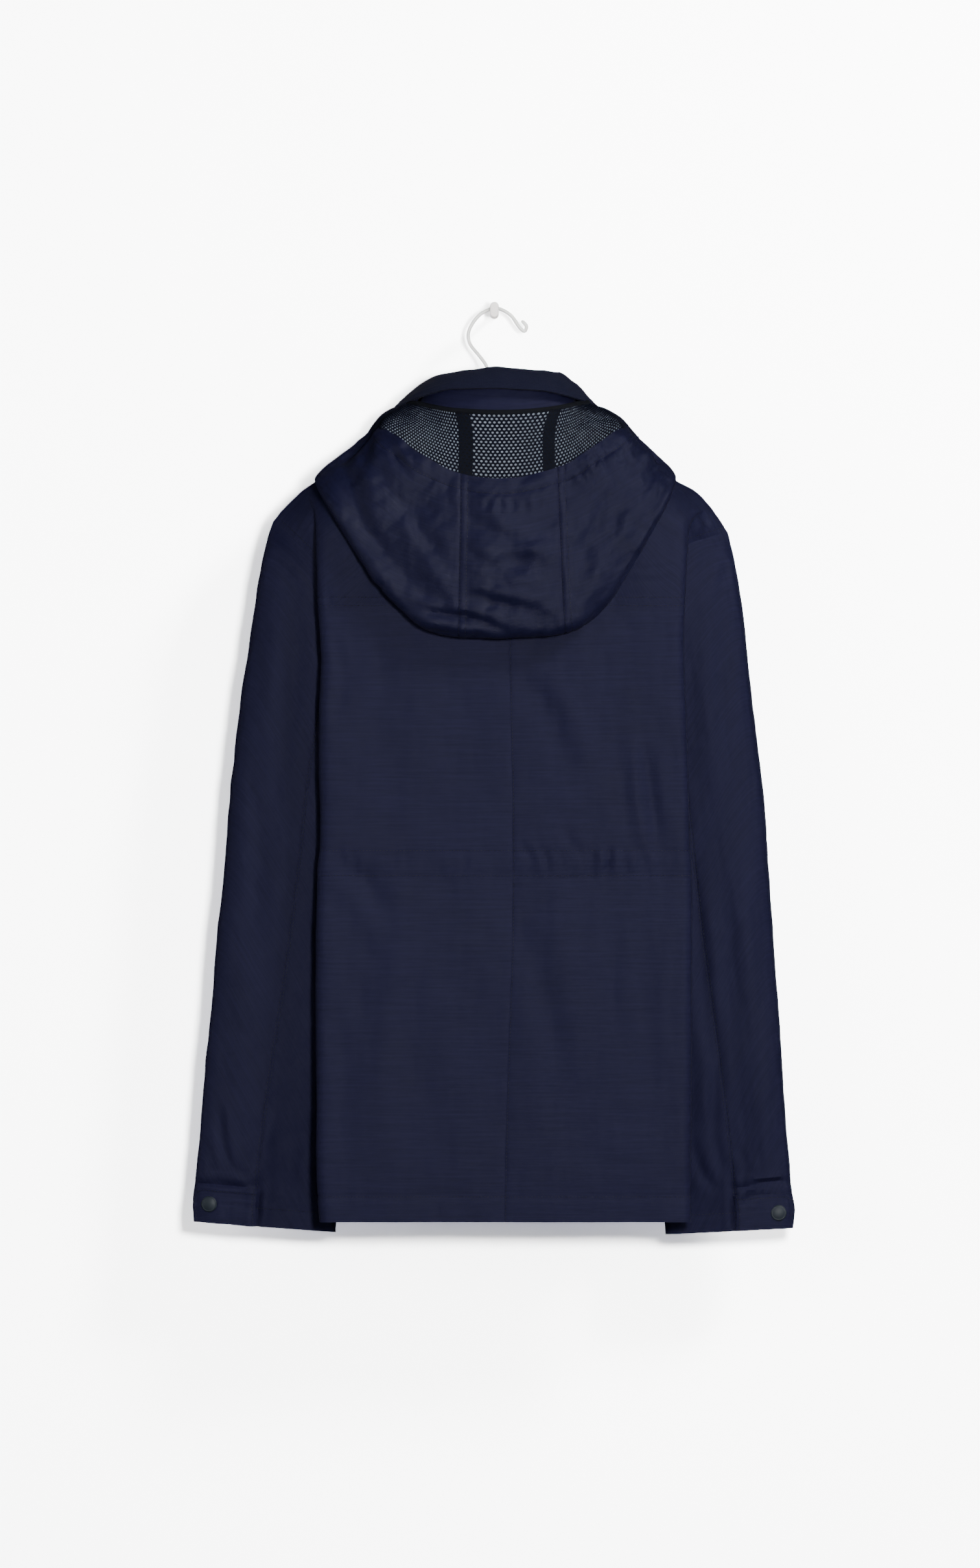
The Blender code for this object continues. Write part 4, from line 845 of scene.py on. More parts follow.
def pull_back(grid, edges):
    """Moves the named edges in by EDGE_STEP."""
    grid = grid.copy()
    pairs = {"top": (0, 1), "bottom": (-1, -2), "left": (0, 1), "right": (-1, -2)}
    for edge in edges:
        a, b = pairs[edge]
        side = grid if edge in ("top", "bottom") else turned(grid)
        side[a] += units(side[b] - side[a]) * EDGE_STEP
    return grid


def flat_lengths(grid):
    """Lengths across and down a piece, from its middle column and its first row."""
    across = np.cumsum(np.pad(np.linalg.norm(np.diff(grid, axis=1), axis=2), ((0, 0), (1, 0))), axis=1)
    down = np.cumsum(np.pad(np.linalg.norm(np.diff(grid, axis=0), axis=2), ((1, 0), (0, 0))), axis=0)
    middle = grid.shape[1] // 2
    return np.stack((across - across[:, middle:middle + 1], -down), axis=-1)


def sheet_mesh(name, outer, inner, sign, materials, uv, sharp=40.0):
    """A closed thin wall between two grids; the second material is for its inner face."""
    rows, columns = outer.shape[:2]
    shift = rows * columns
    index = np.arange(shift).reshape(rows, columns)
    quads = np.stack((index[:-1, :-1], index[:-1, 1:], index[1:, 1:], index[1:, :-1]), -1).reshape(-1, 4)
    if sign < 0:
        quads = quads[:, ::-1]
    rim = np.concatenate((index[0, :-1], index[:-1, -1], index[-1, :0:-1], index[:0:-1, 0]))
    after = np.roll(rim, -1)
    order = (after, rim, rim + shift, after + shift)
    if sign < 0:
        order = order[::-1]
    border = np.stack(order, -1)
    faces = np.concatenate((quads, quads[:, ::-1] + shift, border))
    kinds = np.zeros(len(faces), np.int32)
    if len(materials) > 1:
        kinds[len(quads):2 * len(quads)] = 1
    vertices = np.concatenate((outer.reshape(-1, 3), inner.reshape(-1, 3)))
    both = np.concatenate((uv.reshape(-1, 2), uv.reshape(-1, 2)))
    return make_object(name, vertices, faces.tolist(), materials, kinds, both, sharp)


def cloth(name, surface, rows, columns, seams, materials):
    """A panel of a fine surface, as a closed thin wall."""
    grid = surface.points[rows][:, columns]
    normal = surface.normals[rows][:, columns]
    uv = flat_lengths(grid)
    grid = pull_back(grid, seams)
    outer = grid + normal * (CLOTH_OUT + CLOTH / 2.0)
    inner = grid + normal * (CLOTH_OUT - CLOTH / 2.0)
    return sheet_mesh(name, outer, inner, surface.sign, materials, uv)


# ---------------------------------------------------------------- lines on the cloth, and stitches
def cross_line(points, normals, measure, wanted):
    """Points and normals where a measure that grows down each column reaches the wanted value."""
    steps = np.arange(len(points))
    rows = np.array([np.interp(goal, column, steps) for goal, column in zip(wanted, measure.T)])
    low = np.clip(np.floor(rows).astype(int), 0, len(points) - 2)
    share = (rows - low)[:, None]
    columns = np.arange(points.shape[1])
    return [grid[low, columns] * (1.0 - share) + grid[low + 1, columns] * share for grid in (points, normals)]


def row_line(surface, row, offset, columns=slice(None)):
    """A line across the columns, the offset (mm) below a row."""
    down = surface.down[:, columns]
    return cross_line(surface.points[:, columns], surface.normals[:, columns], down, down[row] + offset)


def column_line(surface, column, offset, rows=slice(None)):
    """A line down the rows, the offset (mm) beside a column."""
    across = surface.across[rows].T
    return cross_line(turned(surface.points[rows]), turned(surface.normals[rows]), across, across[column] + offset)


def stacked(lines):
    """Grids of points and normals from lines laid beside each other."""
    return [np.array(grid) for grid in zip(*lines)]


def level_line(surface, z):
    """A line across the columns at one height."""
    depth = -surface.points[..., 2]
    return cross_line(surface.points, surface.normals, depth, np.full(depth.shape[1], -z))


def read_along(values, travelled, places):
    """The values at places along a line whose points lie at the travelled lengths."""
    return np.stack([np.interp(places, travelled, values[:, k]) for k in range(3)], axis=1)


def stitches(name, lines, entry, lift=CLOTH_OUT + CLOTH / 2.0, pitch=STITCH_PITCH, size=None):
    """Rows of short thread stitches lying on the cloth, as one mesh."""
    grain = np.array([(-0.5, 0.0, -0.3), (-0.3, -0.5, 0.0), (-0.3, 0.0, 1.0), (-0.3, 0.5, 0.0),
                      (0.3, -0.5, 0.0), (0.3, 0.0, 1.0), (0.3, 0.5, 0.0), (0.5, 0.0, -0.3)])
    size = np.array(size or (STITCH_LENGTH * pitch / STITCH_PITCH, STITCH_WIDTH, STITCH_HEIGHT))
    sides = [(0, 2, 1), (0, 3, 2), (0, 1, 3), (1, 2, 5, 4), (2, 3, 6, 5), (3, 1, 4, 6),
             (7, 4, 5), (7, 5, 6), (7, 6, 4)]
    vertices, faces = [], []
    for points, normals in lines:
        step = np.linalg.norm(np.diff(points, axis=0), axis=1)
        travelled = np.concatenate(([0.0], np.cumsum(step)))
        count = int(travelled[-1] / pitch)
        if count < 1:
            continue
        middles = (np.arange(count) + 0.5) * travelled[-1] / count
        centre, ahead, behind = (read_along(points, travelled, middles + shift) for shift in (0.0, 0.6, -0.6))
        along, normal = units(ahead - behind), units(read_along(normals, travelled, middles))
        side = np.cross(normal, along)
        for c, n, t, s in zip(centre, normal, along, side):
            base = len(vertices)
            local = grain * size
            block = c + n * lift + local[:, :1] * t + local[:, 1:2] * s + local[:, 2:3] * n
            vertices.extend(block.tolist())
            faces.extend(tuple(base + k for k in face) for face in sides)
    return make_object(name, vertices, faces, [entry], sharp=60.0)


def circle(count):
    """Cosines and sines round a circle, each as a column."""
    turn = 2.0 * math.pi * np.arange(count)[:, None] / count
    return np.cos(turn), np.sin(turn)


def loft(name, rings, entry, outward=True, closed=False, sharp=50.0):
    """A skin over rings of points, capped at both ends unless the rings close on themselves."""
    rings = np.asarray(rings)
    total, count = rings.shape[:2]
    faces = []
    for ring in range(total if closed else total - 1):
        a, b = ring * count, (ring + 1) % total * count
        faces += [(a + k, a + (k + 1) % count, b + (k + 1) % count, b + k) for k in range(count)]
    if not closed:
        faces += [tuple(reversed(range(count))), tuple(range((total - 1) * count, total * count))]
    if not outward:
        faces = [tuple(reversed(face)) for face in faces]
    return make_object(name, rings.reshape(-1, 3), faces, [entry], sharp=sharp)


def lathe(name, centre, axis, profile, entry, count=40):
    """A round piece about an axis: profile rows are (radius, height)."""
    across = unit(np.cross(axis, (0.0, 0.0, 1.0)))
    cos, sin = circle(count)
    spokes = across * cos + np.cross(across, axis) * sin
    return loft(name, [centre + axis * rise + spokes * radius for radius, rise in profile], entry,
                outward=False, sharp=35.0)


def tube(name, entry, path, radii, closed, sides=20):
    """A round bar along a path; radii holds one radius, or one for each point."""
    ahead, behind = np.roll(path, -1, axis=0), np.roll(path, 1, axis=0)
    if not closed:
        ahead[-1], behind[0] = path[-1], path[0]
    cos, sin = circle(sides)
    rings = []
    for place, along, radius in zip(path, ahead - behind, np.broadcast_to(radii, len(path))):
        across = unit(np.cross(unit(along), (0.0, 1.0, 0.0)))
        rings.append(place + (across * cos + np.cross(unit(along), across) * sin) * radius)
    return loft(name, rings, entry, closed=closed)


# ---------------------------------------------------------------- materials
def new_material(name, colour, roughness, sheen=0.0, specular=0.5):
    entry = bpy.data.materials.new(name)
    entry.use_nodes = True
    shader = entry.node_tree.nodes["Principled BSDF"]
    shader.inputs["Base Color"].default_value = (*colour, 1.0)
    shader.inputs["Roughness"].default_value = roughness
    shader.inputs["Sheen Weight"].default_value = sheen
    shader.inputs["Specular IOR Level"].default_value = specular
    return entry, shader


class Nodes:
    """Short calls for the nodes of one material."""

    def __init__(self, entry):
        self.tree = entry.node_tree

    def add(self, kind, **sockets):
        node = self.tree.nodes.new(kind)
        for name, value in sockets.items():
            self.put(node.inputs[name.replace("_", " ")], value)
        return node

    def put(self, socket, value):
        if isinstance(value, bpy.types.NodeSocket):
            self.tree.links.new(value, socket)
        else:
            socket.default_value = value

    def math(self, operation, a, b=0.0):
        node = self.tree.nodes.new("ShaderNodeMath")
        node.operation = operation
        self.put(node.inputs[0], a)
        self.put(node.inputs[1], b)
        return node.outputs[0]

    def plus(self, a, b):
        return self.math("ADD", a, b)

    def times(self, a, b):
        return self.math("MULTIPLY", a, b)

    def noise(self, vector, scale, detail=3.0):
        node = self.add("ShaderNodeTexNoise", Vector=vector, Scale=scale, Detail=detail)
        return node.outputs["Fac"]

    def stretched_noise(self, vector, scale_x, scale_y, detail):
        """Noise on the cloth's own plane, finer where the scale is larger."""
        node = self.add("ShaderNodeMapping", Vector=vector, Scale=(scale_x, scale_y, 0.0))
        return self.noise(node.outputs[0], 1.0, detail)

    def span(self, value, low, high):
        node = self.tree.nodes.new("ShaderNodeMapRange")
        self.put(node.inputs["Value"], value)
        node.inputs["To Min"].default_value = low
        node.inputs["To Max"].default_value = high
        return node.outputs["Result"]

    def mix(self, share, first, second):
        node = self.tree.nodes.new("ShaderNodeMix")
        node.data_type = "RGBA"
        self.put(node.inputs[0], share)
        self.put(node.inputs[6], first)
        self.put(node.inputs[7], second)
        return node.outputs[2]

    def tint(self, shader, share, dark, light):
        """Colours the shader from dark to light by the share."""
        self.put(shader.inputs["Base Color"], self.mix(share, (*dark, 1.0), (*light, 1.0)))

    def bump(self, height, distance, strength=1.0):
        node = self.tree.nodes.new("ShaderNodeBump")
        self.put(node.inputs["Height"], height)
        node.inputs["Distance"].default_value = distance * MM
        node.inputs["Strength"].default_value = strength
        return node.outputs["Normal"]


def woven(name, dark, light, roughness, rib, sheen, creased):
    """Plain weave with a fine crosswise rib; rib = (crosswise, lengthwise) thread pitch in mm."""
    entry, shader = new_material(name, dark, roughness[0], sheen=sheen, specular=0.22)
    nodes = Nodes(entry)
    place = nodes.add("ShaderNodeUVMap").outputs["UV"]
    parts = nodes.add("ShaderNodeSeparateXYZ", Vector=place)
    drift = nodes.stretched_noise(place, 0.02, 0.05, 2.0)
    across = nodes.math("SINE", nodes.times(parts.outputs["X"], 2.0 * math.pi / rib[1]))
    wander = nodes.plus(parts.outputs["Y"], nodes.times(drift, 2.0))
    down = nodes.math("SINE", nodes.times(wander, 2.0 * math.pi / rib[0]))
    threads = nodes.plus(nodes.times(down, 0.7), nodes.times(across, 0.3))
    slub = nodes.stretched_noise(place, 0.05, 1.3, 3.0)
    mottle = nodes.stretched_noise(place, 0.012, 0.012, 4.0)
    streaks = nodes.stretched_noise(place, 0.016, 0.42, 2.0)
    shade = nodes.plus(nodes.times(threads, 0.16), nodes.plus(nodes.times(slub, 0.6), nodes.times(mottle, 0.6)))
    shade = nodes.plus(shade, nodes.times(nodes.math("SUBTRACT", streaks, 0.5), 0.9))
    share = nodes.span(shade, 0.0, 1.0)
    nodes.tint(shader, share, dark, light)
    nodes.put(shader.inputs["Roughness"], nodes.span(nodes.plus(slub, mottle), *roughness))
    soft = nodes.stretched_noise(place, 0.10, 0.16, 4.0)
    height = nodes.plus(nodes.times(threads, 0.05), nodes.times(slub, 0.05))
    height = nodes.plus(height, nodes.times(soft, creased))
    nodes.put(shader.inputs["Normal"], nodes.bump(height, 1.0, 0.8))
    return entry


def knitted(name, dark, light):
    """Knit loops along each rib, with a fuzzy uneven tone."""
    entry, shader = new_material(name, dark, 0.9, sheen=0.04, specular=0.15)
    nodes = Nodes(entry)
    place = nodes.add("ShaderNodeUVMap").outputs["UV"]
    parts = nodes.add("ShaderNodeSeparateXYZ", Vector=place)
    loops = nodes.math("SINE", nodes.times(parts.outputs["Y"], 2.0 * math.pi / 1.3))
    fuzz = nodes.noise(place, 0.9, 4.0)
    share = nodes.span(nodes.plus(nodes.times(loops, 0.12), fuzz), 0.0, 1.0)
    nodes.tint(shader, share, dark, light)
    height = nodes.plus(nodes.times(loops, 0.04), nodes.times(fuzz, 0.05))
    nodes.put(shader.inputs["Normal"], nodes.bump(height, 1.0, 0.6))
    return entry


def coated(name, dark, light):
    """The pale coating on the wrong side of the nylon, creased behind the net; its dark patches are painted shade of
    the folds.
    """
    entry, shader = new_material(name, light, 0.5, specular=0.3)
    nodes = Nodes(entry)
    place = nodes.add("ShaderNodeUVMap").outputs["UV"]
    folds_and_painted_shade = nodes.stretched_noise(place, 0.030, 0.016, 5.0)
    weave = nodes.stretched_noise(place, 1.1, 1.4, 2.0)
    # the noise's dark patches paint the shade of the coating's folds into its colour, and the same noise bumps the
    # folds
    share = nodes.span(nodes.plus(nodes.times(folds_and_painted_shade, 0.8), nodes.times(weave, 0.3)), 0.12, 1.0)
    nodes.tint(shader, share, dark, light)
    height = nodes.plus(folds_and_painted_shade, nodes.times(weave, 0.05))
    nodes.put(shader.inputs["Normal"], nodes.bump(height, 1.2, 0.7))
    return entry


def speckled(name, dark, light, roughness, grain=1.2, depth=0.03, specular=0.5):
    """Moulded, painted or metal surface: fine grain, faint wear and uneven gloss."""
    entry, shader = new_material(name, light, roughness[0], specular=specular)
    nodes = Nodes(entry)
    place = nodes.add("ShaderNodeTexCoord").outputs["Object"]
    fine = nodes.noise(place, grain / MM, 4.0)
    broad = nodes.noise(place, 0.08 / MM, 3.0)
    share = nodes.plus(nodes.times(fine, 0.35), nodes.times(broad, 0.65))
    nodes.tint(shader, nodes.span(share, -0.2, 1.2), dark, light)
    nodes.put(shader.inputs["Roughness"], nodes.span(broad, *roughness))
    nodes.put(shader.inputs["Normal"], nodes.bump(fine, depth, 0.8))
    return entry


NYLON = woven("nylon_shell", (0.0082, 0.0083, 0.0365), (0.0174, 0.0172, 0.0630),
              roughness=(0.48, 0.62), rib=(0.74, 0.52), sheen=0.02, creased=0.25)
HOOD_NYLON = woven("nylon_hood", (0.0070, 0.0072, 0.0330), (0.0150, 0.0150, 0.0560),
                   roughness=(0.36, 0.50), rib=(0.60, 0.48), sheen=0.02, creased=0.45)
INSIDE = woven("nylon_inside", (0.0045, 0.0062, 0.0210), (0.0090, 0.0115, 0.0340),
               roughness=(0.55, 0.70), rib=(0.70, 0.52), sheen=0.01, creased=0.2)
THREAD = speckled("thread", (0.0060, 0.0075, 0.0170), (0.0130, 0.0160, 0.0330), roughness=(0.55, 0.75), grain=3.0)
RIB = knitted("rib_knit", (0.0088, 0.0096, 0.0280), (0.0185, 0.0198, 0.0490))
NET = speckled("net_thread", (0.0030, 0.0044, 0.0120), (0.0075, 0.0100, 0.0230), roughness=(0.6, 0.8),
               grain=2.0, specular=0.14)
# the dark end of the coating's colour is painted shade of its folds
COATING = coated("pale_coating", (0.070, 0.105, 0.170), (0.640, 0.740, 0.860))
TAPE = woven("seam_tape", (0.0022, 0.0030, 0.0060), (0.0048, 0.0063, 0.0120),
             roughness=(0.6, 0.75), rib=(0.9, 0.7), sheen=0.0, creased=0.1)
SNAP = speckled("snap_metal", (0.0120, 0.0200, 0.0320), (0.0250, 0.0370, 0.0540), roughness=(0.45, 0.58),
                depth=0.02)
ZIP_TAPE = woven("zip_tape", (0.0055, 0.0075, 0.0170), (0.0105, 0.0135, 0.0280),
                 roughness=(0.65, 0.8), rib=(1.0, 0.9), sheen=0.0, creased=0.1)
ZIP_TEETH = speckled("zip_teeth", (0.0060, 0.0080, 0.0180), (0.0150, 0.0180, 0.0340), roughness=(0.35, 0.5),
                     grain=2.0)
WIRE = speckled("wire_coating", (0.74, 0.74, 0.71), (0.86, 0.86, 0.83), roughness=(0.25, 0.38), grain=1.5,
                depth=0.02)
PEG = speckled("peg_plastic", (0.86, 0.80, 0.78), (0.94, 0.89, 0.87), roughness=(0.32, 0.48), grain=1.0,
               depth=0.02)


# ---------------------------------------------------------------- the folds of this jacket (mm)
# Each is a soft trough (depth below 0) or ridge along a path of (x, z) points.
BODY_BACK_CREASES = [Crease(*row) for row in (
    (-1.6, 7.0, ((138, -400), (142, -435), (147, -470), (152, -508))),
    (1.3, 7.0, ((126, -380), (130, -430), (136, -480), (139, -503))),
    (-1.1, 6.0, ((64, -478), (68, -490), (72, -507))),
    (-0.9, 3.2, ((22, -494), (30, -503), (36, -514))), (-1.0, 3.0, ((44, -500), (49, -512), (47, -527))),
    (0.9, 3.0, ((36, -498), (41, -510), (40, -523))), (-1.0, 3.4, ((60, -499), (63, -511), (58, -522))),
    (0.8, 3.2, ((72, -500), (76, -512), (75, -524))), (-0.9, 3.0, ((88, -500), (90, -514), (86, -529))),
    (-1.2, 3.4, ((104, -497), (106, -513), (102, -527))), (0.9, 3.2, ((97, -500), (99, -513), (96, -524))),
    (-0.9, 3.0, ((120, -500), (118, -512), (124, -523))), (-1.0, 3.2, ((134, -498), (137, -510), (133, -524))),
    (0.9, 3.0, ((127, -500), (129, -512), (127, -522))), (0.8, 3.0, ((144, -502), (146, -512), (143, -523))),
    (-0.7, 2.8, ((-30, -500), (-27, -511), (-29, -523))), (-0.6, 3.0, ((-82, -501), (-79, -512), (-83, -522))),
    (-0.7, 3.0, ((-132, -500), (-128, -512), (-133, -524))), (0.6, 3.0, ((-108, -501), (-105, -512), (-107, -522))),
    (-1.0, 9.0, ((-150, -505), (-120, -530), (-96, -565))), (0.9, 10.0, ((-152, -522), (-124, -556), (-104, -600))),
    (-0.9, 10.0, ((12, -330), (40, -360), (62, -410), (70, -450))), (0.8, 12.0, ((30, -330), (70, -370), (92, -430))),
    (-1.0, 12.0, ((20, -560), (40, -610), (52, -680), (60, -760))), (0.9, 14.0, ((50, -560), (74, -640), (84, -720))),
    (-0.9, 13.0, ((-60, -560), (-74, -640), (-66, -740))), (0.8, 12.0, ((-96, -600), (-104, -680), (-100, -780))),
    (-0.8, 9.0, ((-150, -640), (-138, -700), (-142, -790))), (0.7, 8.0, ((160, -560), (154, -640), (158, -740))),
    (-0.8, 8.0, ((112, -540), (108, -600), (116, -680))), (-0.6, 3.0, ((-50, -822), (-53, -832), (-52, -845))),
    (-1.0, 6.0, ((-150, -300), (-140, -340), (-150, -400))), (0.8, 7.0, ((-120, -290), (-116, -340), (-124, -400))),
    (-0.6, 2.6, ((112, -240), (140, -243), (168, -238))), (-0.5, 2.4, ((120, -251), (146, -253), (170, -248))),
    (0.5, 2.6, ((116, -258), (144, -262), (172, -256))), (-0.5, 2.6, ((-158, -246), (-136, -249), (-118, -246))),
    (-1.6, 4.0, ((188, -190), (194, -197), (200, -208))), (1.2, 3.6, ((194, -186), (200, -194), (205, -204))),
    (-1.1, 3.0, ((190, -203), (196, -210), (199, -216))),
)]

# The front is hidden in the photo: its folds are alike, and plainer.
BODY_FRONT_CREASES = [Crease(*row) for row in (
    (-1.5, 8.0, ((-100, -250), (-84, -320), (-78, -400), (-84, -480))),
    (1.2, 8.0, ((-124, -260), (-110, -340), (-104, -430))),
    (-1.4, 8.0, ((112, -260), (98, -330), (92, -400), (96, -480))),
    (1.2, 9.0, ((134, -270), (122, -350), (116, -430))),
    (-1.0, 3.2, ((-40, -500), (-42, -512), (-39, -525))), (-1.0, 3.0, ((-66, -500), (-63, -513), (-67, -525))),
    (0.8, 3.0, ((-54, -501), (-52, -512), (-55, -523))), (-0.9, 3.2, ((-96, -500), (-99, -512), (-95, -524))),
    (-1.0, 3.0, ((46, -500), (49, -512), (45, -525))), (0.8, 3.0, ((58, -500), (60, -512), (57, -523))),
    (-1.0, 3.2, ((76, -500), (73, -513), (77, -525))), (-0.9, 3.0, ((108, -500), (111, -512), (107, -524))),
    (-1.2, 12.0, ((-50, -560), (-66, -650), (-60, -760))), (1.0, 13.0, ((-96, -580), (-104, -670), (-98, -780))),
    (-1.2, 12.0, ((58, -560), (72, -660), (66, -780))), (1.0, 13.0, ((104, -590), (112, -690), (108, -790))),
    (-0.9, 9.0, ((-130, -620), (-136, -700), (-132, -790))), (-0.9, 9.0, ((140, -620), (134, -700), (140, -790))),
)]

SLEEVE_LEFT_CREASES = [Crease(*row) for row in (
    (-1.3, 5.0, ((-200, -202), (-186, -218), (-175, -232), (-166, -250))),
    (1.2, 5.0, ((-206, -214), (-190, -232), (-178, -250), (-172, -276))),
    (-1.6, 8.0, ((-186, -262), (-182, -330), (-192, -400), (-204, -460))),
    (1.1, 9.0, ((-206, -262), (-205, -330), (-216, -410))),
    (-1.1, 8.0, ((-224, -420), (-218, -500), (-226, -580))), (1.1, 9.0, ((-190, -430), (-196, -520), (-206, -600))),
    (-1.2, 8.0, ((-196, -600), (-210, -680), (-218, -750))), (0.9, 9.0, ((-230, -600), (-236, -690), (-244, -750))),
    (-1.2, 4.0, ((-255, -742), (-250, -778), (-243, -800))), (0.9, 4.6, ((-247, -738), (-242, -772), (-234, -798))),
    (-1.2, 4.0, ((-236, -796), (-229, -806), (-221, -812))), (1.2, 4.6, ((-205, -745), (-213, -780), (-216, -808))),
    (-1.2, 5.0, ((-196, -760), (-200, -790), (-196, -820))), (0.9, 5.0, ((-183, -770), (-188, -800), (-182, -830))),
    (-0.8, 3.0, ((-222, -818), (-208, -828), (-196, -827))),
    (-3.0, 3.6, ((-217, -800), (-217, -815), (-219, -840), (-222, -868))),
    (-2.6, 2.8, ((-284, -814), (-268, -810), (-248, -811), (-230, -813), (-214, -813))),
)]

SLEEVE_RIGHT_CREASES = [Crease(*row) for row in (
    (-1.0, 5.0, ((204, -214), (196, -226), (190, -250))), (1.0, 5.0, ((214, -222), (206, -240), (200, -268))),
    (-1.2, 9.0, ((214, -280), (210, -350), (216, -430))), (1.0, 9.0, ((198, -290), (196, -370), (200, -450))),
    (-2.0, 7.0, ((184, -508), (189, -580), (197, -655), (206, -700))),
    (1.4, 7.0, ((186, -660), (194, -705), (196, -745), (208, -790))),
    (-2.0, 6.0, ((208, -690), (203, -730), (202, -765), (212, -800))),
    (-1.3, 5.0, ((184, -770), (192, -800), (206, -818))),
    (1.1, 9.0, ((226, -520), (232, -600), (236, -680))), (-1.1, 9.0, ((214, -520), (220, -600), (226, -680))),
    (0.9, 8.0, ((244, -700), (248, -760), (250, -805))), (-1.0, 4.0, ((226, -776), (232, -795), (228, -812))),
    (-0.9, 3.6, ((246, -816), (236, -822), (226, -834))),
    (-2.4, 3.4, ((219, -800), (220, -820), (222, -868))),
    (-2.4, 2.8, ((284, -812), (266, -809), (244, -811), (226, -814), (214, -815))),
)]

HOOD_CREASES = [Crease(*row) for row in (
    (-3.4, 10.0, ((-132, -136), (-130, -166), (-121, -205), (-102, -228), (-79, -252), (-56, -272), (-34, -280))),
    (-2.2, 7.0, ((-118, -132), (-103, -158), (-86, -186), (-66, -212), (-52, -232))),
    (2.4, 7.5, ((-97, -166), (-82, -196), (-68, -222), (-50, -252), (-38, -272))),
    (2.2, 8.0, ((-152, -148), (-138, -190), (-110, -234), (-84, -264))),
    (-1.6, 3.6, ((-98, -124), (-92, -138), (-84, -149), (-76, -160))),
    (1.3, 3.4, ((-88, -124), (-84, -136), (-76, -146))),
    (-1.4, 4.0, ((-112, -121), (-118, -134), (-122, -150))), (1.2, 4.4, ((-104, -122), (-108, -138), (-108, -152))),
    (-2.4, 7.0, ((-26, -203), (-8, -205), (8, -213), (24, -222))),
    (1.7, 5.5, ((-26, -219), (-10, -227), (4, -236), (10, -246))),
    (-2.3, 8.0, ((-4, -243), (14, -240), (36, -239), (60, -247))), (1.6, 5.0, ((16, -226), (34, -224), (52, -230))),
    (-2.3, 8.0, ((-27, -270), (2, -275), (29, -282), (58, -290))),
    (1.7, 5.0, ((-26, -260), (-8, -262), (14, -268), (44, -272))),
    (-3.2, 4.2, ((-84, -274), (-58, -283), (-28, -287), (-4, -294), (16, -302))),
    (1.6, 4.6, ((-70, -290), (-40, -296), (-14, -301))),
    (-1.2, 4.0, ((44, -206), (54, -200), (64, -192))),
    (2.2, 8.0, ((138, -146), (125, -190), (101, -232), (78, -264))),
    (-2.2, 7.0, ((112, -160), (92, -198), (74, -236))),
    (-2.6, 9.0, ((156, -158), (143, -206), (116, -252), (86, -290))),
    (1.4, 6.0, ((96, -178), (84, -206), (72, -222))),
    (-1.6, 6.0, ((150, -134), (146, -150), (136, -172))), (1.4, 5.0, ((142, -128), (136, -142), (128, -160))),
    (-1.6, 3.0, ((70, -148), (78, -152), (84, -164))), (1.3, 2.8, ((82, -141), (88, -148), (92, -158))),
    (-1.7, 3.0, ((92, -134), (100, -142), (104, -154))), (1.3, 2.8, ((103, -130), (110, -138), (112, -148))),
    (-1.5, 3.0, ((112, -124), (120, -132), (122, -142))), (-1.2, 2.6, ((-8, -177), (-6, -184), (-9, -192))),
    (-1.3, 2.6, ((4, -178), (6, -186), (3, -194))), (-1.3, 2.6, ((16, -178), (18, -186), (15, -193))),
    (-1.2, 2.6, ((28, -177), (29, -184), (26, -191))), (-1.1, 2.4, ((39, -176), (41, -183), (38, -189))),
)]

STAND_CREASES = [Crease(*row) for row in (
    (-0.8, 2.6, ((-50, -84), (-46, -92), (-44, -98))), (0.7, 3.0, ((-34, -80), (-31, -90), (-28, -98))),
    (-0.8, 2.6, ((-20, -79), (-16, -90), (-13, -99))), (0.7, 3.0, ((-6, -78), (-4, -88), (-1, -99))),
    (-0.7, 2.6, ((12, -78), (12, -88), (14, -99))), (0.7, 2.8, ((26, -80), (24, -90), (22, -98))),
    (-0.8, 2.6, ((42, -82), (38, -90), (36, -97))), (0.6, 2.4, ((54, -86), (50, -92), (47, -96))),
)]


# ---------------------------------------------------------------- building the fine surfaces
def ring_joined(surface_row):
    return np.concatenate((surface_row, surface_row[:1]))


def join_armhole(sleeve, back, front, side):
    """Sets the sleeve's first ring on the body's armhole, and lets the next rows follow it."""
    edge = 0 if side < 0 else -1
    last = back.row_marks[ARMHOLE_ROWS]
    rim = np.concatenate((back.points[:last + 1, edge], front.points[last - 1:0:-1, edge]))
    shift = ring_joined(rim) - sleeve.points[0]
    first = sleeve.row_marks[1]
    for i in range(first + 1):
        sleeve.points[i] += shift * (1.0 - i / (first + 1.0)) ** 2


def edge_fade(surface):
    """0 at a body surface's seams with its neighbours, 1 past them."""
    total = surface.across[:, -1:]
    fade = ease(np.minimum(surface.across, total - surface.across), 0.0, SEAM_FADE)
    return fade * ease(surface.down, 0.0, SEAM_FADE)


def from_column(surface, mark):
    """How far across the cloth each point lies from one of the coarse grid's columns."""
    column = surface.column_marks[mark]
    return surface.across - surface.across[:, column:column + 1]


def from_row(surface, mark):
    """How far down the cloth each point lies from one of the coarse grid's rows."""
    row = surface.row_marks[mark]
    return surface.down - surface.down[row:row + 1]


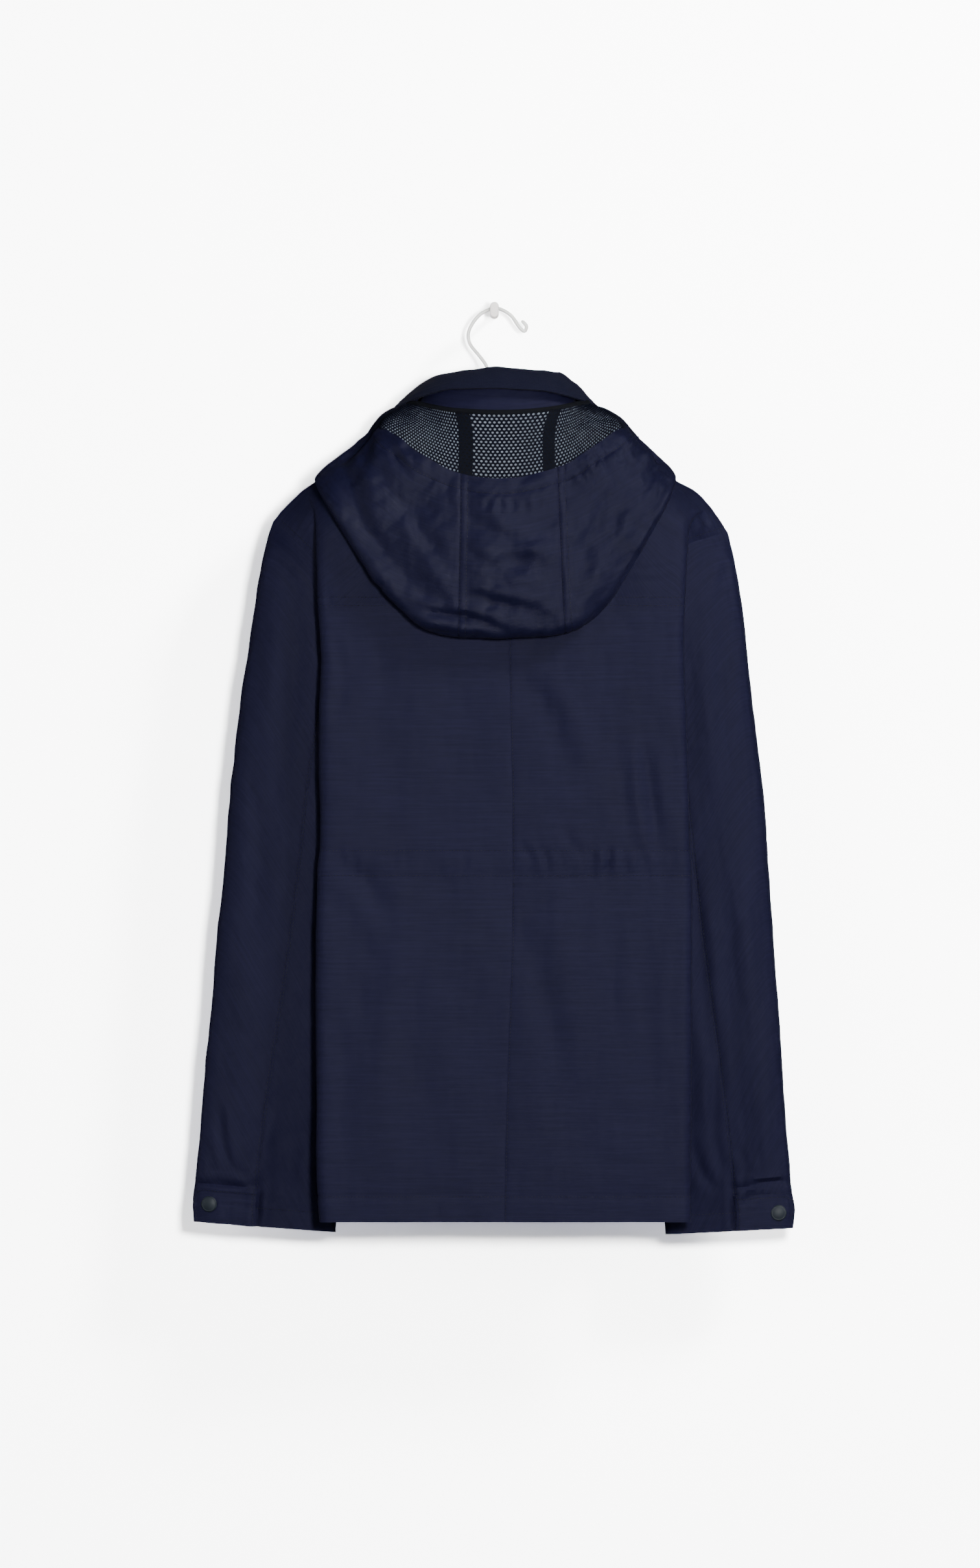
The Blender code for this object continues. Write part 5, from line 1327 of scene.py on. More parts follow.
def body_height(surface, creases, facing, seed):
    x, z = surface.points[..., 0], surface.points[..., 2]
    height = undulation(surface, amount=0.7, wave_x=90.0, wave_z=260.0, seed=seed)
    height += undulation(surface, amount=0.16, wave_x=16.0, wave_z=60.0, seed=seed + 1, waves=9)
    height += crumple(surface, amount=0.3, pitch=34.0, seed=seed + 2)
    height += crease_height(surface, creases, facing)
    rise = np.exp(-((z - (TUNNEL_TOP + TUNNEL_BOTTOM) / 2.0) / 8.5) ** 2)
    height += rise * (0.5 + 0.25 * np.sin(x * 2.0 * math.pi / 9.5) * np.sin(x * 2.0 * math.pi / 61.0 + 0.8))
    for at, number in ((TUNNEL_TOP, 11), (TUNNEL_BOTTOM, 12)):
        height += seam_height(np.abs(z - at), x, pucker=0.36, pitch=10.0, seed=seed + number, groove=0.25)
    height += seam_height(np.abs(z - HEM_STITCH), x, pucker=0.16, pitch=13.0, seed=seed + 13, groove=0.4)
    height += 0.25 * ease(-z, -HEM_STITCH, -HEM_STITCH + 2.0)
    return height


def dress_body(back, front):
    """Raises the folds and seams of the back and the front."""
    x, z = back.points[..., 0], back.points[..., 2]
    from_yoke = from_row(back, YOKE_ROW)
    height = body_height(back, BODY_BACK_CREASES, -1, 40)
    centre = np.abs(from_column(back, HALF_COLUMNS))
    height += seam_height(centre, z, pucker=0.18, pitch=15.0, seed=61, groove=0.5) * ease(from_yoke, 0.0, 10.0)
    for at, number in ((0.0, 62), (-YOKE_STITCH, 63)):
        height += seam_height(np.abs(from_yoke - at), x, pucker=0.26, pitch=11.0, seed=number, groove=0.2)
    height += 0.2 * np.exp(-((from_yoke + YOKE_STITCH / 2.0) / 2.4) ** 2)
    back.raise_by(height * edge_fade(back))
    height = body_height(front, BODY_FRONT_CREASES, 1, 40)
    front.raise_by(height * edge_fade(front))


def dress_sleeve(sleeve, creases, seed):
    """Raises a sleeve's folds and seams; the front's folds are the back's, shifted."""
    to_cuff = sleeve.down[-1:] - sleeve.down
    height = undulation(sleeve, amount=0.8, wave_x=70.0, wave_z=170.0, seed=seed)
    height += undulation(sleeve, amount=0.16, wave_x=14.0, wave_z=44.0, seed=seed + 1, waves=9)
    height += crumple(sleeve, amount=0.35, pitch=36.0, seed=seed + 2)
    height += crease_height(sleeve, creases, -1)
    shifted = [Crease(c.depth * 0.8, c.width, [(x + 9.0, z - 13.0) for x, z in c.points]) for c in creases]
    height += crease_height(sleeve, shifted, 1)
    for mark, number in ((SLEEVE_SEAM, 71), (FRONT_SEAM, 72)):
        height += seam_height(np.abs(from_column(sleeve, mark)), sleeve.down, pucker=0.22, pitch=14.0,
                              seed=seed + number, groove=0.5)
    height += seam_height(np.abs(to_cuff - CUFF_STITCH), sleeve.across, pucker=0.18, pitch=12.0,
                          seed=seed + 73, groove=0.4)
    height += 0.22 * ease(CUFF_STITCH - to_cuff, 0.0, 2.0)
    sleeve.raise_by(height * ease(sleeve.down, 0.0, SEAM_FADE))


def build_body_surfaces():
    """The fine surfaces of back, front and sleeves, which meet point by point."""
    back_coarse, front_coarse = back_grid(), front_grid()
    rows = span_counts(back_coarse, CELL, 2)
    back = make_surface(back_coarse, -1, CELL, rows)
    front = make_surface(front_coarse, 1, HIDDEN_CELL, rows)
    sleeves = []
    for side, rings in ((-1, SLEEVE_LEFT), (1, SLEEVE_RIGHT)):
        coarse = sleeve_grid(rings, back_coarse, front_coarse, side)
        sleeve = make_sleeve_surface(coarse, side, rows[:ARMHOLE_ROWS])
        join_armhole(sleeve, back, front, side)
        sleeves.append(sleeve)
    surfaces = [back, front, *sleeves]
    share_normals(surfaces)
    dress_body(back, front)
    for sleeve, creases, seed in zip(sleeves, (SLEEVE_LEFT_CREASES, SLEEVE_RIGHT_CREASES), (80, 95)):
        dress_sleeve(sleeve, creases, seed)
    share_normals(surfaces)
    return back_coarse, back, front, sleeves


def make_sleeve_surface(coarse, side, counts):
    """The sleeve's columns are cut like the armhole's rows, so that the two meet point by point."""
    rows = span_counts(np.concatenate((coarse, coarse[:, :1]), axis=1), SLEEVE_CELL, 2)
    return fine_surface(coarse, rows, [*counts, *reversed(counts)], side, ring=True)


# ---------------------------------------------------------------- the pieces
def cut_pieces(surface, kinds, cuts):
    """Pieces of a surface by their nodes; each cut is node, name of the cloth, rows, columns and seams."""
    return {node: cloth(name, surface, *window, kinds) for node, name, *window in cuts}


def build_panels(back, front):
    """The back's three panels, and the fronts with the zip's tape between them."""
    seam, middle = back.row_marks[YOKE_ROW], back.column_marks[HALF_COLUMNS]
    start, stop = front.column_marks[HALF_COLUMNS], front.column_marks[HALF_COLUMNS + 1]
    below, kinds = slice(seam, None), (NYLON, INSIDE)
    made = cut_pieces(back, kinds, (
        ("back_yoke", "yoke_cloth", slice(0, seam + 1), EVERY, ("top", "bottom", "left", "right")),
        ("back_left", "back_left_cloth", below, slice(0, middle + 1), ("top", "left", "right")),
        ("back_right", "back_right_cloth", below, slice(middle, None), ("top", "left", "right"))))
    made.update(cut_pieces(front, kinds, (
        ("front_left", "front_left_cloth", EVERY, slice(0, start + 1), ("top", "left", "right")),
        ("front_right", "front_right_cloth", EVERY, slice(stop, None), ("top", "left", "right")))))
    made.update(cut_pieces(front, (ZIP_TAPE, ZIP_TAPE), (
        ("front_zip", "zip_tape", EVERY, slice(start, stop + 1), ("left", "right")),)))
    return made


def build_sleeve(side, sleeve):
    """The sleeve's under and top panels."""
    back_seam, front_seam = sleeve.column_marks[SLEEVE_SEAM], sleeve.column_marks[FRONT_SEAM]
    underarm, last = sleeve.column_marks[ARMHOLE_ROWS], sleeve.column_marks[-1]
    # the sleeve's first ring stands further off where it turns back on the body at the underarm
    eased = Surface(sleeve.points.copy(), sleeve.sign, sleeve.row_marks, sleeve.column_marks)
    eased.normals = sleeve.normals
    near = np.clip(1.0 - np.abs(np.arange(last + 1) - underarm) / (last / 6.0), 0.0, 1.0)
    eased.points[0] += units(eased.points[1] - eased.points[0]) * (UNDERARM_STEP * near)[:, None]
    parts = {"top": [*range(front_seam, last), *range(back_seam + 1)], "under": slice(back_seam, front_seam + 1)}
    return [cloth("sleeve_%s_cloth_%s" % (part, side), eased, EVERY, parts[part], ("top", "left", "right"),
                  (NYLON, INSIDE)) for part in ("under", "top")]


def hood_surface(back_coarse):
    surface = make_surface(hood_grid(back_coarse), -1, HOOD_CELL, least=3)
    share_normals([surface])
    return surface


def dress_hood(surface):
    """Raises the hood's folds and seams, and swells its nape beside the neck."""
    facing = -surface.normals[..., 1]
    height = crease_height(surface, HOOD_CREASES, -1)
    waves = undulation(surface, amount=0.5, wave_x=50.0, wave_z=60.0, seed=130)
    ripples = undulation(surface, amount=0.14, wave_x=12.0, wave_z=16.0, seed=131, waves=9)
    broad = crumple(surface, amount=1.6, pitch=40.0, seed=132)
    fine = crumple(surface, amount=0.7, pitch=18.0, seed=133)
    height += (waves + ripples) * ease(facing, 0.05, 0.5) + (broad + fine) * ease(facing, 0.0, 0.4)
    across = surface.across - surface.across[:, :1]
    from_casing = from_row(surface, 1)
    shown = ease(facing, -0.3, 0.3)
    gathers = 0.35 + 0.65 * ease(across, 90.0, 170.0)
    height += seam_height(np.abs(from_casing), across, pucker=0.85, pitch=8.5, seed=141, groove=0.9,
                          spread=6.5) * gathers * shown
    swell = np.exp(-((from_casing + 7.5) / 5.5) ** 2) * 0.7
    height += swell * (1.0 + 0.5 * gathers * np.sin(across * 2.0 * math.pi / 7.3)) * shown
    for mark, number in ((HOOD_SEAM_LEFT, 142), (HOOD_SEAM_RIGHT, 143)):
        gap = from_column(surface, mark)
        relief = seam_height(np.abs(gap), surface.down, pucker=0.45, pitch=7.0, seed=number, groove=1.0,
                             spread=4.5)
        relief += seam_height(np.abs(gap - HOOD_STITCH), surface.down, pucker=0.4, pitch=6.4, seed=number + 4,
                              groove=0.7)
        height += (relief + 0.3 * np.exp(-((gap - HOOD_STITCH / 2.0) / 2.6) ** 2)) * shown
    to_neck = surface.down[-1:] - surface.down
    surface.raise_by(height * ease(to_neck, 0.0, 20.0))
    nape = np.arange(len(surface.points))[:, None] >= surface.row_marks[NAPE_ROW]
    for x, z, side in NAPE_BULGES:
        gap = np.hypot(surface.points[..., 0] - x, surface.points[..., 2] - z)
        swell = BULGE * np.exp(-(gap / BULGE_REACH) ** 2) * ease(to_neck, 0.0, 12.0) * nape
        surface.points += swell[..., None] * np.array((0.72 * side, 0.0, 0.69))
    share_normals([surface])


def build_hood(surface):
    """The hood's three panels and the casing along its rim."""
    casing = surface.row_marks[1]
    left, right = surface.column_marks[HOOD_SEAM_LEFT], surface.column_marks[HOOD_SEAM_RIGHT]
    below = slice(casing, None)
    return cut_pieces(surface, (HOOD_NYLON, COATING), (
        ("hood_casing", "hood_casing_cloth", slice(0, casing + 1), EVERY, ("bottom",)),
        ("hood_left", "hood_left_cloth", below, slice(0, left + 1), ("top", "right")),
        ("hood_centre", "hood_centre_cloth", below, slice(left, right + 1), ("top", "left", "right")),
        ("hood_right", "hood_right_cloth", below, slice(right, None), ("top", "left"))))


def surface_point(surface, across_share, down_share, first_row, last_row, first_column, last_column):
    """Points and normals by shares of a window of the surface."""
    row = first_row + (last_row - first_row) * np.asarray(down_share)
    column = first_column + (last_column - first_column) * np.asarray(across_share)
    i = np.clip(np.floor(row).astype(int), 0, surface.points.shape[0] - 2)
    j = np.clip(np.floor(column).astype(int), 0, surface.points.shape[1] - 2)
    s, t = (row - i)[..., None], (column - j)[..., None]
    result = []
    for grid in (surface.points, surface.normals):
        result.append(grid[i, j] * (1 - s) * (1 - t) + grid[i + 1, j] * s * (1 - t)
                      + grid[i, j + 1] * (1 - s) * t + grid[i + 1, j + 1] * s * t)
    return result


def build_net(surface):
    """A net of six-sided holes over the pale coating."""
    first_row, last_row = surface.row_marks[-NET_ROWS], len(surface.points) - 1
    first_column, last_column = surface.column_marks[NET_FIRST], surface.column_marks[NET_LAST]
    window = surface.points[first_row:last_row, first_column:last_column]
    width = np.linalg.norm(np.diff(window, axis=1), axis=2).sum(axis=1).mean()
    depth = np.linalg.norm(np.diff(window, axis=0), axis=2).sum(axis=0).mean()
    columns, rows = int(width / NET_PITCH), int(depth / (NET_PITCH * NET_ROW))
    corners = [(math.sin(math.pi * k / 3.0), math.cos(math.pi * k / 3.0)) for k in range(6)]
    share_x, share_y, faces, known = [], [], [], {}
    outer = 1.0 / math.sqrt(3.0)

    def corner_index(x, y):
        key = (round(x * 100), round(y * 100))
        if key not in known:
            known[key] = len(share_x)
            share_x.append(x / (columns + 0.5))
            share_y.append(y / (rows * NET_ROW + 0.2))
        return known[key]

    for r in range(rows):
        for c in range(columns):
            middle_x = c + 0.5 + (0.5 if r % 2 else 0.0)
            middle_y = (r + 0.5) * NET_ROW
            rim, hole = ([corner_index(middle_x + x * size, middle_y + y * size) for x, y in corners]
                         for size in (outer, outer * NET_HOLE))
            faces += [(rim[k], rim[(k + 1) % 6], hole[(k + 1) % 6], hole[k]) for k in range(6)]
    share_x, share_y = np.clip(share_x, 0.0, 1.0), np.clip(share_y, 0.0, 1.0)
    points, normals = surface_point(surface, share_x, share_y, first_row, last_row, first_column, last_column)
    near = points + normals * NET_LIFT
    far = points + normals * (NET_LIFT + NET_WALL)
    shift = len(near)
    walls = [(b, a, a + shift, b + shift) for _, _, b, a in faces]
    every = [tuple(reversed(f)) for f in faces] + [tuple(k + shift for k in f) for f in faces] + walls
    return make_object("net_lining", np.concatenate((near, far)), every, [NET], sharp=60.0)


def strip(name, grid, normal, lift, wall, sign, entry):
    """A thin closed strip whose outer face is the grid moved by the lift along its normals."""
    return sheet_mesh(name, grid + normal * lift, grid + normal * (lift - wall), sign, (entry,), flat_lengths(grid))


def build_tapes(surface):
    """Dark tapes over the hood's seams, between the coating and the net."""
    rows = slice(surface.row_marks[-NET_ROWS - 2], len(surface.points))
    made = []
    for name, mark, half in (("seam_tape_left", HOOD_SEAM_LEFT, 6.6), ("seam_tape_right", HOOD_SEAM_RIGHT, 5.8)):
        column = surface.column_marks[mark]
        grid, normal = map(turned, stacked(column_line(surface, column, half * beside, rows)
                                           for beside in (-1.0, -0.5, 0.0, 0.5, 1.0)))
        made.append(strip(name, grid, normal, TAPE_LIFT, TAPE_WALL, surface.sign, TAPE))
    return made


def build_facings(surface):
    """Nylon facings over the coating between the net and the hood's front ends."""
    rows = slice(surface.row_marks[-FACING_ROWS], None)
    made = []
    for name, columns in (("hood_facing_left", slice(0, surface.column_marks[NET_FIRST] + 1)),
                          ("hood_facing_right", slice(surface.column_marks[NET_LAST], None))):
        grid, normal = surface.points[rows][:, columns], surface.normals[rows][:, columns]
        made.append(strip(name, grid, normal, FACING_LIFT, TAPE_WALL, surface.sign, INSIDE))
    return made


def build_binding_and_shade(surface):
    """The dark binding that covers the neck seam inside the hood; its near-black strip also paints the shade along
    the neck seam.
    """
    columns = slice(surface.column_marks[NET_FIRST], surface.column_marks[NET_LAST] + 1)
    grid, normal = stacked(row_line(surface, -1, offset, columns) for offset in BINDING_ROWS)
    lift = BINDING_LIFT + BINDING_WALL - np.array(BINDING_SWELL)[:, None, None]
    # the near-black tape on this strip is partly the binding's own colour and partly painted shade at the neck seam
    return strip("neck_binding_and_shade", grid, normal, lift, BINDING_WALL, surface.sign, TAPE)


def collar_grids():
    """The stand, and the rib collar that folds over it, each round the neck."""
    stand, rib = [], []
    for k in range(COLLAR_STEPS + 1):
        psi = -180.0 + COLLAR_OPEN + (360.0 - 2.0 * COLLAR_OPEN) * k / COLLAR_STEPS
        neck_z, top_z, edge_z = (table_value(COLLAR, "psi", psi, c) for c in ("neck_z", "top_z", "edge_z"))
        low = ellipse_point(NECK_X, NECK_Y, NECK_HALF_WIDTH - 2.5, NECK_HALF_DEPTH - 2.5, psi, neck_z - 3.0)
        high = ellipse_point(TOP_X, TOP_Y, TOP_HALF_WIDTH, TOP_HALF_DEPTH, psi, top_z)
        stand.append([low + (high - low) * share for share in (0.0, 0.25, 0.5, 0.75, 1.0)])
        ends = [ellipse_point(TOP_X, TOP_Y, TOP_HALF_WIDTH + grow, TOP_HALF_DEPTH + grow, psi, top_z + rise)
                for grow, rise in ((-2.6, -12.0), (-3.2, 3.2), (3.2, 3.2))]
        spread = math.exp(-((abs(psi) - 95.0) / 26.0) ** 2)
        edge = ellipse_point(2.0, NECK_Y, EDGE_HALF_WIDTH + 8.0 * spread, EDGE_HALF_DEPTH, psi,
                             edge_z - 6.0 * spread)
        outward = unit(edge - np.array((NECK_X, NECK_Y, edge_z)))
        middle = (ends[2] + edge) / 2.0 + outward * 3.0
        rib.append(spline((*ends, middle, edge), (even(2), even(3), even(3))))
    return np.array(stand).transpose(1, 0, 2), np.array(rib).transpose(1, 0, 2)


def build_collar():
    """The collar's two pieces, and the surface of its rib knit for the stitches."""
    stand_coarse, rib_coarse = collar_grids()
    stand = make_surface(stand_coarse, -1, STAND_CELL, least=2)
    share_normals([stand])
    height = crease_height(stand, STAND_CREASES, -1)
    height += undulation(stand, amount=0.25, wave_x=26.0, wave_z=30.0, seed=150)
    stand.raise_by(height * ease(stand.down, 0.0, 6.0))
    share_normals([stand])
    stand_piece = cloth("collar_stand_cloth", stand, EVERY, EVERY, (), (NYLON, NYLON))
    chord = np.linalg.norm(np.diff(rib_coarse[4], axis=0), axis=1)
    columns = [RIB_COLUMNS * max(1, round(value / RIB_PITCH)) for value in chord]
    rib = fine_surface(rib_coarse, span_counts(rib_coarse, RIB_CELL, 2), columns, 1)
    share_normals([rib])
    to_edge = rib.down[-1:] - rib.down
    soft = undulation(rib, amount=0.35, wave_x=40.0, wave_z=30.0, seed=151)
    rib.raise_by(soft * ease(to_edge, -1.0, 12.0))
    share_normals([rib])
    phase = np.arange(rib.points.shape[1]) % RIB_COLUMNS
    ridge = RIB_HEIGHT * (0.5 - 0.5 * np.cos(phase * 2.0 * math.pi / RIB_COLUMNS))
    dip = np.exp(-((to_edge - RIB_STITCH) / 1.2) ** 2)
    above = RIB_STITCH - to_edge
    height = ridge + 0.5 * ease(above, 0.0, 2.0) + 0.2 * ease(above + 6.0, 0.0, 5.0) - RIB_GROOVE * dip
    outer = rib.points + rib.normals * (RIB_OUT + height)[..., None]
    inner = rib.points - rib.normals * (RIB_IN + 0.35 * dip)[..., None]
    rib_piece = sheet_mesh("collar_rib_knit", outer, inner, 1, (RIB,), flat_lengths(rib.points), 75.0)
    return stand_piece, rib_piece, rib


def build_tab(side, sleeve):
    """The snap tab on the back of the cuff: its outer top corner is rounded."""
    columns = slice(sleeve.column_marks[1], sleeve.column_marks[SLEEVE_SEAM] + 1)
    down = sleeve.down[:, columns]
    across = sleeve.across[-1, columns] - sleeve.across[-1, columns.start]
    corner = np.clip((TAB_CORNER - across) / TAB_CORNER, 0.0, 1.0)
    top = TAB_DEPTH - TAB_CORNER * (1.0 - np.sqrt(1.0 - corner ** 2))
    points, normals = stacked(cross_line(sleeve.points[:, columns], sleeve.normals[:, columns], down,
                                         down[-1] - top * (1.0 - k / TAB_STEPS)) for k in range(TAB_STEPS + 1))
    share_x = across / across[-1]
    share_y = (np.arange(TAB_STEPS + 1) / TAB_STEPS)[:, None]
    swell = 0.7 * np.sin(math.pi * share_x) * np.sin(math.pi * share_y)
    swell = swell + 1.5 * share_x ** 3 * (0.4 + 0.6 * share_y)
    stitch_gap = np.minimum(np.minimum(across, across[-1] - across), share_y * TAB_DEPTH)
    groove = -0.3 * np.exp(-((stitch_gap - TAB_STITCH) / 0.9) ** 2)
    lift = CLOTH_OUT + CLOTH / 2.0 + TAB_GAP
    outer = points + normals * (lift + TAB_WALL + swell + groove)[..., None]
    inner = points + normals * (lift + swell * 0.8)[..., None]
    piece = sheet_mesh("cuff_tab_cloth_" + side, outer, inner, sleeve.sign, (NYLON, INSIDE), flat_lengths(points))
    surface = Surface(points + normals * (TAB_WALL + TAB_GAP + swell)[..., None], sleeve.sign, [0, TAB_STEPS],
                      [0, len(across) - 1])
    surface.normals = normals
    surface.measure()
    return piece, surface


def build_snap(side, tab):
    """The snap's round cap on its tab."""
    share_x, share_y = SNAP_PLACE[side]
    rows, columns = tab.points.shape[:2]
    points, normals = surface_point(tab, [share_x], [share_y], 0, rows - 1, 0, columns - 1)
    axis = unit(normals[0])
    centre = points[0] + axis * (CLOTH_OUT + CLOTH / 2.0 + SNAP_LIFT)
    return lathe("snap_cap_" + side, centre, axis, SNAP_PROFILE, SNAP)


def plate(name, centre, right, up, outline, thickness, entry):
    """A small plate with softened edges, built up from an outline."""
    out = unit(np.cross(right, up))
    middle = np.mean(outline, axis=0)
    rings = []
    for grow, rise in PLATE_EDGE:
        flat = (np.array(outline) - middle) * grow + middle
        rings.append(centre + flat[:, :1] * right + flat[:, 1:] * up + out * rise * thickness)
    return loft(name, rings, entry)


def build_zip(front):
    """The zip's two rows of teeth, its slider and its puller."""
    start, stop = front.column_marks[HALF_COLUMNS], front.column_marks[HALF_COLUMNS + 1]
    half = float(np.median((front.across[:, stop] - front.across[:, start]) / 2.0))
    lines = [column_line(front, start, half + beside, slice(3, None)) for beside in (-1.0, 1.0)]
    teeth = stitches("zip_teeth", lines, ZIP_TEETH, pitch=1.9, size=(1.15, 2.3, 1.0))
    points, _ = column_line(front, start, half)
    right, up = np.array((-1.0, 0.0, 0.0)), unit(points[3] - points[9])
    out = unit(np.cross(right, up))
    base = points[6] + out * (CLOTH_OUT + CLOTH / 2.0 + SLIDER_LIFT)
    slider = plate("zip_slider", base, right, up, SLIDER, SLIDER_THICK, ZIP_TEETH)
    puller = plate("zip_puller", base + out * PULLER_LIFT, right, up, PULLER, PULLER_THICK, ZIP_TEETH)
    return teeth, slider, puller


def build_stitches(back, front, sleeves, hood, rib, tabs):
    """All the rows of stitches that show."""
    seam, middle = back.row_marks[YOKE_ROW], back.column_marks[HALF_COLUMNS]
    start, stop = front.column_marks[HALF_COLUMNS], front.column_marks[HALF_COLUMNS + 1]
    armhole = slice(0, back.row_marks[ARMHOLE_ROWS] + 1)
    body = [row_line(back, seam, offset) for offset in (1.6, -YOKE_STITCH)]
    body += [level_line(surface, z) for surface in (back, front)
             for z in (TUNNEL_TOP, TUNNEL_BOTTOM, HEM_STITCH)]
    body.append(column_line(back, middle, 1.5, slice(seam, None)))
    body += [column_line(surface, edge, offset, armhole)
             for surface in (back, front) for edge, offset in ((0, 5.4), (-1, -5.4))]
    body.append(row_line(front, 0, 4.0, slice(0, front.column_marks[SHOULDER_COLUMNS] + 1)))
    body += [column_line(front, start, -1.4), column_line(front, stop, 1.4)]
    arms = []
    for sleeve in sleeves:
        arms += [column_line(sleeve, sleeve.column_marks[mark], offset)
                 for mark in (SLEEVE_SEAM, FRONT_SEAM) for offset in (1.4, -1.4)]
        arms.append(row_line(sleeve, -1, -CUFF_STITCH))
    crown = slice(0, hood.row_marks[NAPE_ROW])
    seams = [row_line(hood, hood.row_marks[1], -1.2)]
    seams += [column_line(hood, hood.column_marks[mark], offset, crown)
              for mark in (HOOD_SEAM_LEFT, HOOD_SEAM_RIGHT) for offset in (1.0, HOOD_STITCH)]
    points, normals = column_line(hood, hood.column_marks[NET_LINE], NET_LINE_SHIFT,
                                  slice(hood.row_marks[-NET_ROWS], len(hood.points) - 2))
    edges = []
    for tab in tabs:
        edges += [column_line(tab, 0, TAB_STITCH), column_line(tab, -1, -TAB_STITCH), row_line(tab, 0, TAB_STITCH)]
    return [stitches("stitches_body", body, THREAD),
            stitches("stitches_sleeves", arms, THREAD),
            stitches("stitches_hood", seams, THREAD),
            stitches("stitches_net", [(points, -normals)], THREAD, lift=0.1 - NET_LIFT, pitch=2.0),
            stitches("stitches_collar", [row_line(rib, -1, -RIB_STITCH)], THREAD, lift=0.4),
            stitches("stitches_tabs", edges, THREAD, pitch=2.6)]


def build_hanger():
    """The wire hook, and the wire frame under the shoulders."""
    hook_path = smooth_path(HOOK, steps=10)
    radii = np.full(len(hook_path), WIRE_RADIUS)
    radii[:len(WIRE_TIP)] *= WIRE_TIP
    hook = tube("hook_wire", WIRE, hook_path, radii, False)
    bar = tube("hanger_wire", WIRE, smooth_path(FRAME, steps=8, closed=True), WIRE_RADIUS, True)
    return hook, bar


def build_peg():
    """A flat back, a round stem and a pill-shaped head with soft edges, lofted along Y."""
    cos, sin = circle(PEG_POINTS)
    upper = np.where(np.arange(PEG_POINTS) < PEG_POINTS / 2, 1.0, -1.0)[:, None]
    rings = []
    for y, share in PEG_SECTIONS:
        if share == 0.0:
            x, z = PEG_STEM * cos, PEG_STEM_TOP + PEG_STEM * (sin - 1.0)
        else:
            x = PEG_HALF_WIDTH * cos * share
            z = (PEG_HALF_WIDTH * sin + (PEG_HALF_HEIGHT - PEG_HALF_WIDTH) * upper) * share + PEG_MIDDLE
        rings.append(np.hstack((x, np.full_like(x, y), z)))
    return loft("peg", rings, PEG, outward=False, sharp=35.0)


# ---------------------------------------------------------------- stage, light and camera
def quad(name, corners, entry):
    mesh = bpy.data.meshes.new(name)
    mesh.from_pydata(corners, [], [(0, 1, 2, 3)])
    mesh.materials.append(entry)
    made = bpy.data.objects.new(name, mesh)
    bpy.context.scene.collection.objects.link(made)
    return made


def panel_material(name, glow=0.0):
    """A plain pale panel, bright under soft light or by its own even glow, and clear from behind."""
    entry = bpy.data.materials.new(name)
    entry.use_nodes = True
    nodes = Nodes(entry)
    nodes.tree.nodes.remove(nodes.tree.nodes["Principled BSDF"])
    if glow > 0.0:
        face = nodes.add("ShaderNodeEmission", Strength=glow)
    else:
        grain = nodes.noise(nodes.add("ShaderNodeTexCoord").outputs["Object"], 60.0, 3.0)
        face = nodes.add("ShaderNodeBsdfDiffuse", Color=(WALL_WHITENESS, WALL_WHITENESS, WALL_WHITENESS, 1.0),
                         Normal=nodes.bump(grain, 0.05, 0.3))
    blend = nodes.add("ShaderNodeMixShader")
    nodes.put(blend.inputs[0], nodes.add("ShaderNodeNewGeometry").outputs["Backfacing"])
    nodes.put(blend.inputs[1], face.outputs[0])
    nodes.put(blend.inputs[2], nodes.add("ShaderNodeBsdfTransparent").outputs[0])
    nodes.put(nodes.tree.nodes["Material Output"].inputs["Surface"], blend.outputs[0])
    return entry


def area_light(lamp, target):
    light = bpy.data.lights.new(lamp.name, "AREA")
    light.shape = "DISK"
    light.size = lamp.size
    light.energy = lamp.power
    made = bpy.data.objects.new(lamp.name, light)
    made.location = lamp.place
    made.rotation_euler = (Vector(target) - Vector(lamp.place)).to_track_quat("-Z", "Y").to_euler()
    bpy.context.scene.collection.objects.link(made)
    return made


def light_the_white_parts(parts):
    """A lamp of their own for the white wire and peg, which stay white beside the dark cloth in the photo."""
    group = bpy.data.collections.new("white_parts")
    for part in parts:
        group.objects.link(part)
    for lamp in WHITE_LAMPS:
        area_light(lamp, WHITE_TARGET).light_linking.receiver_collection = group


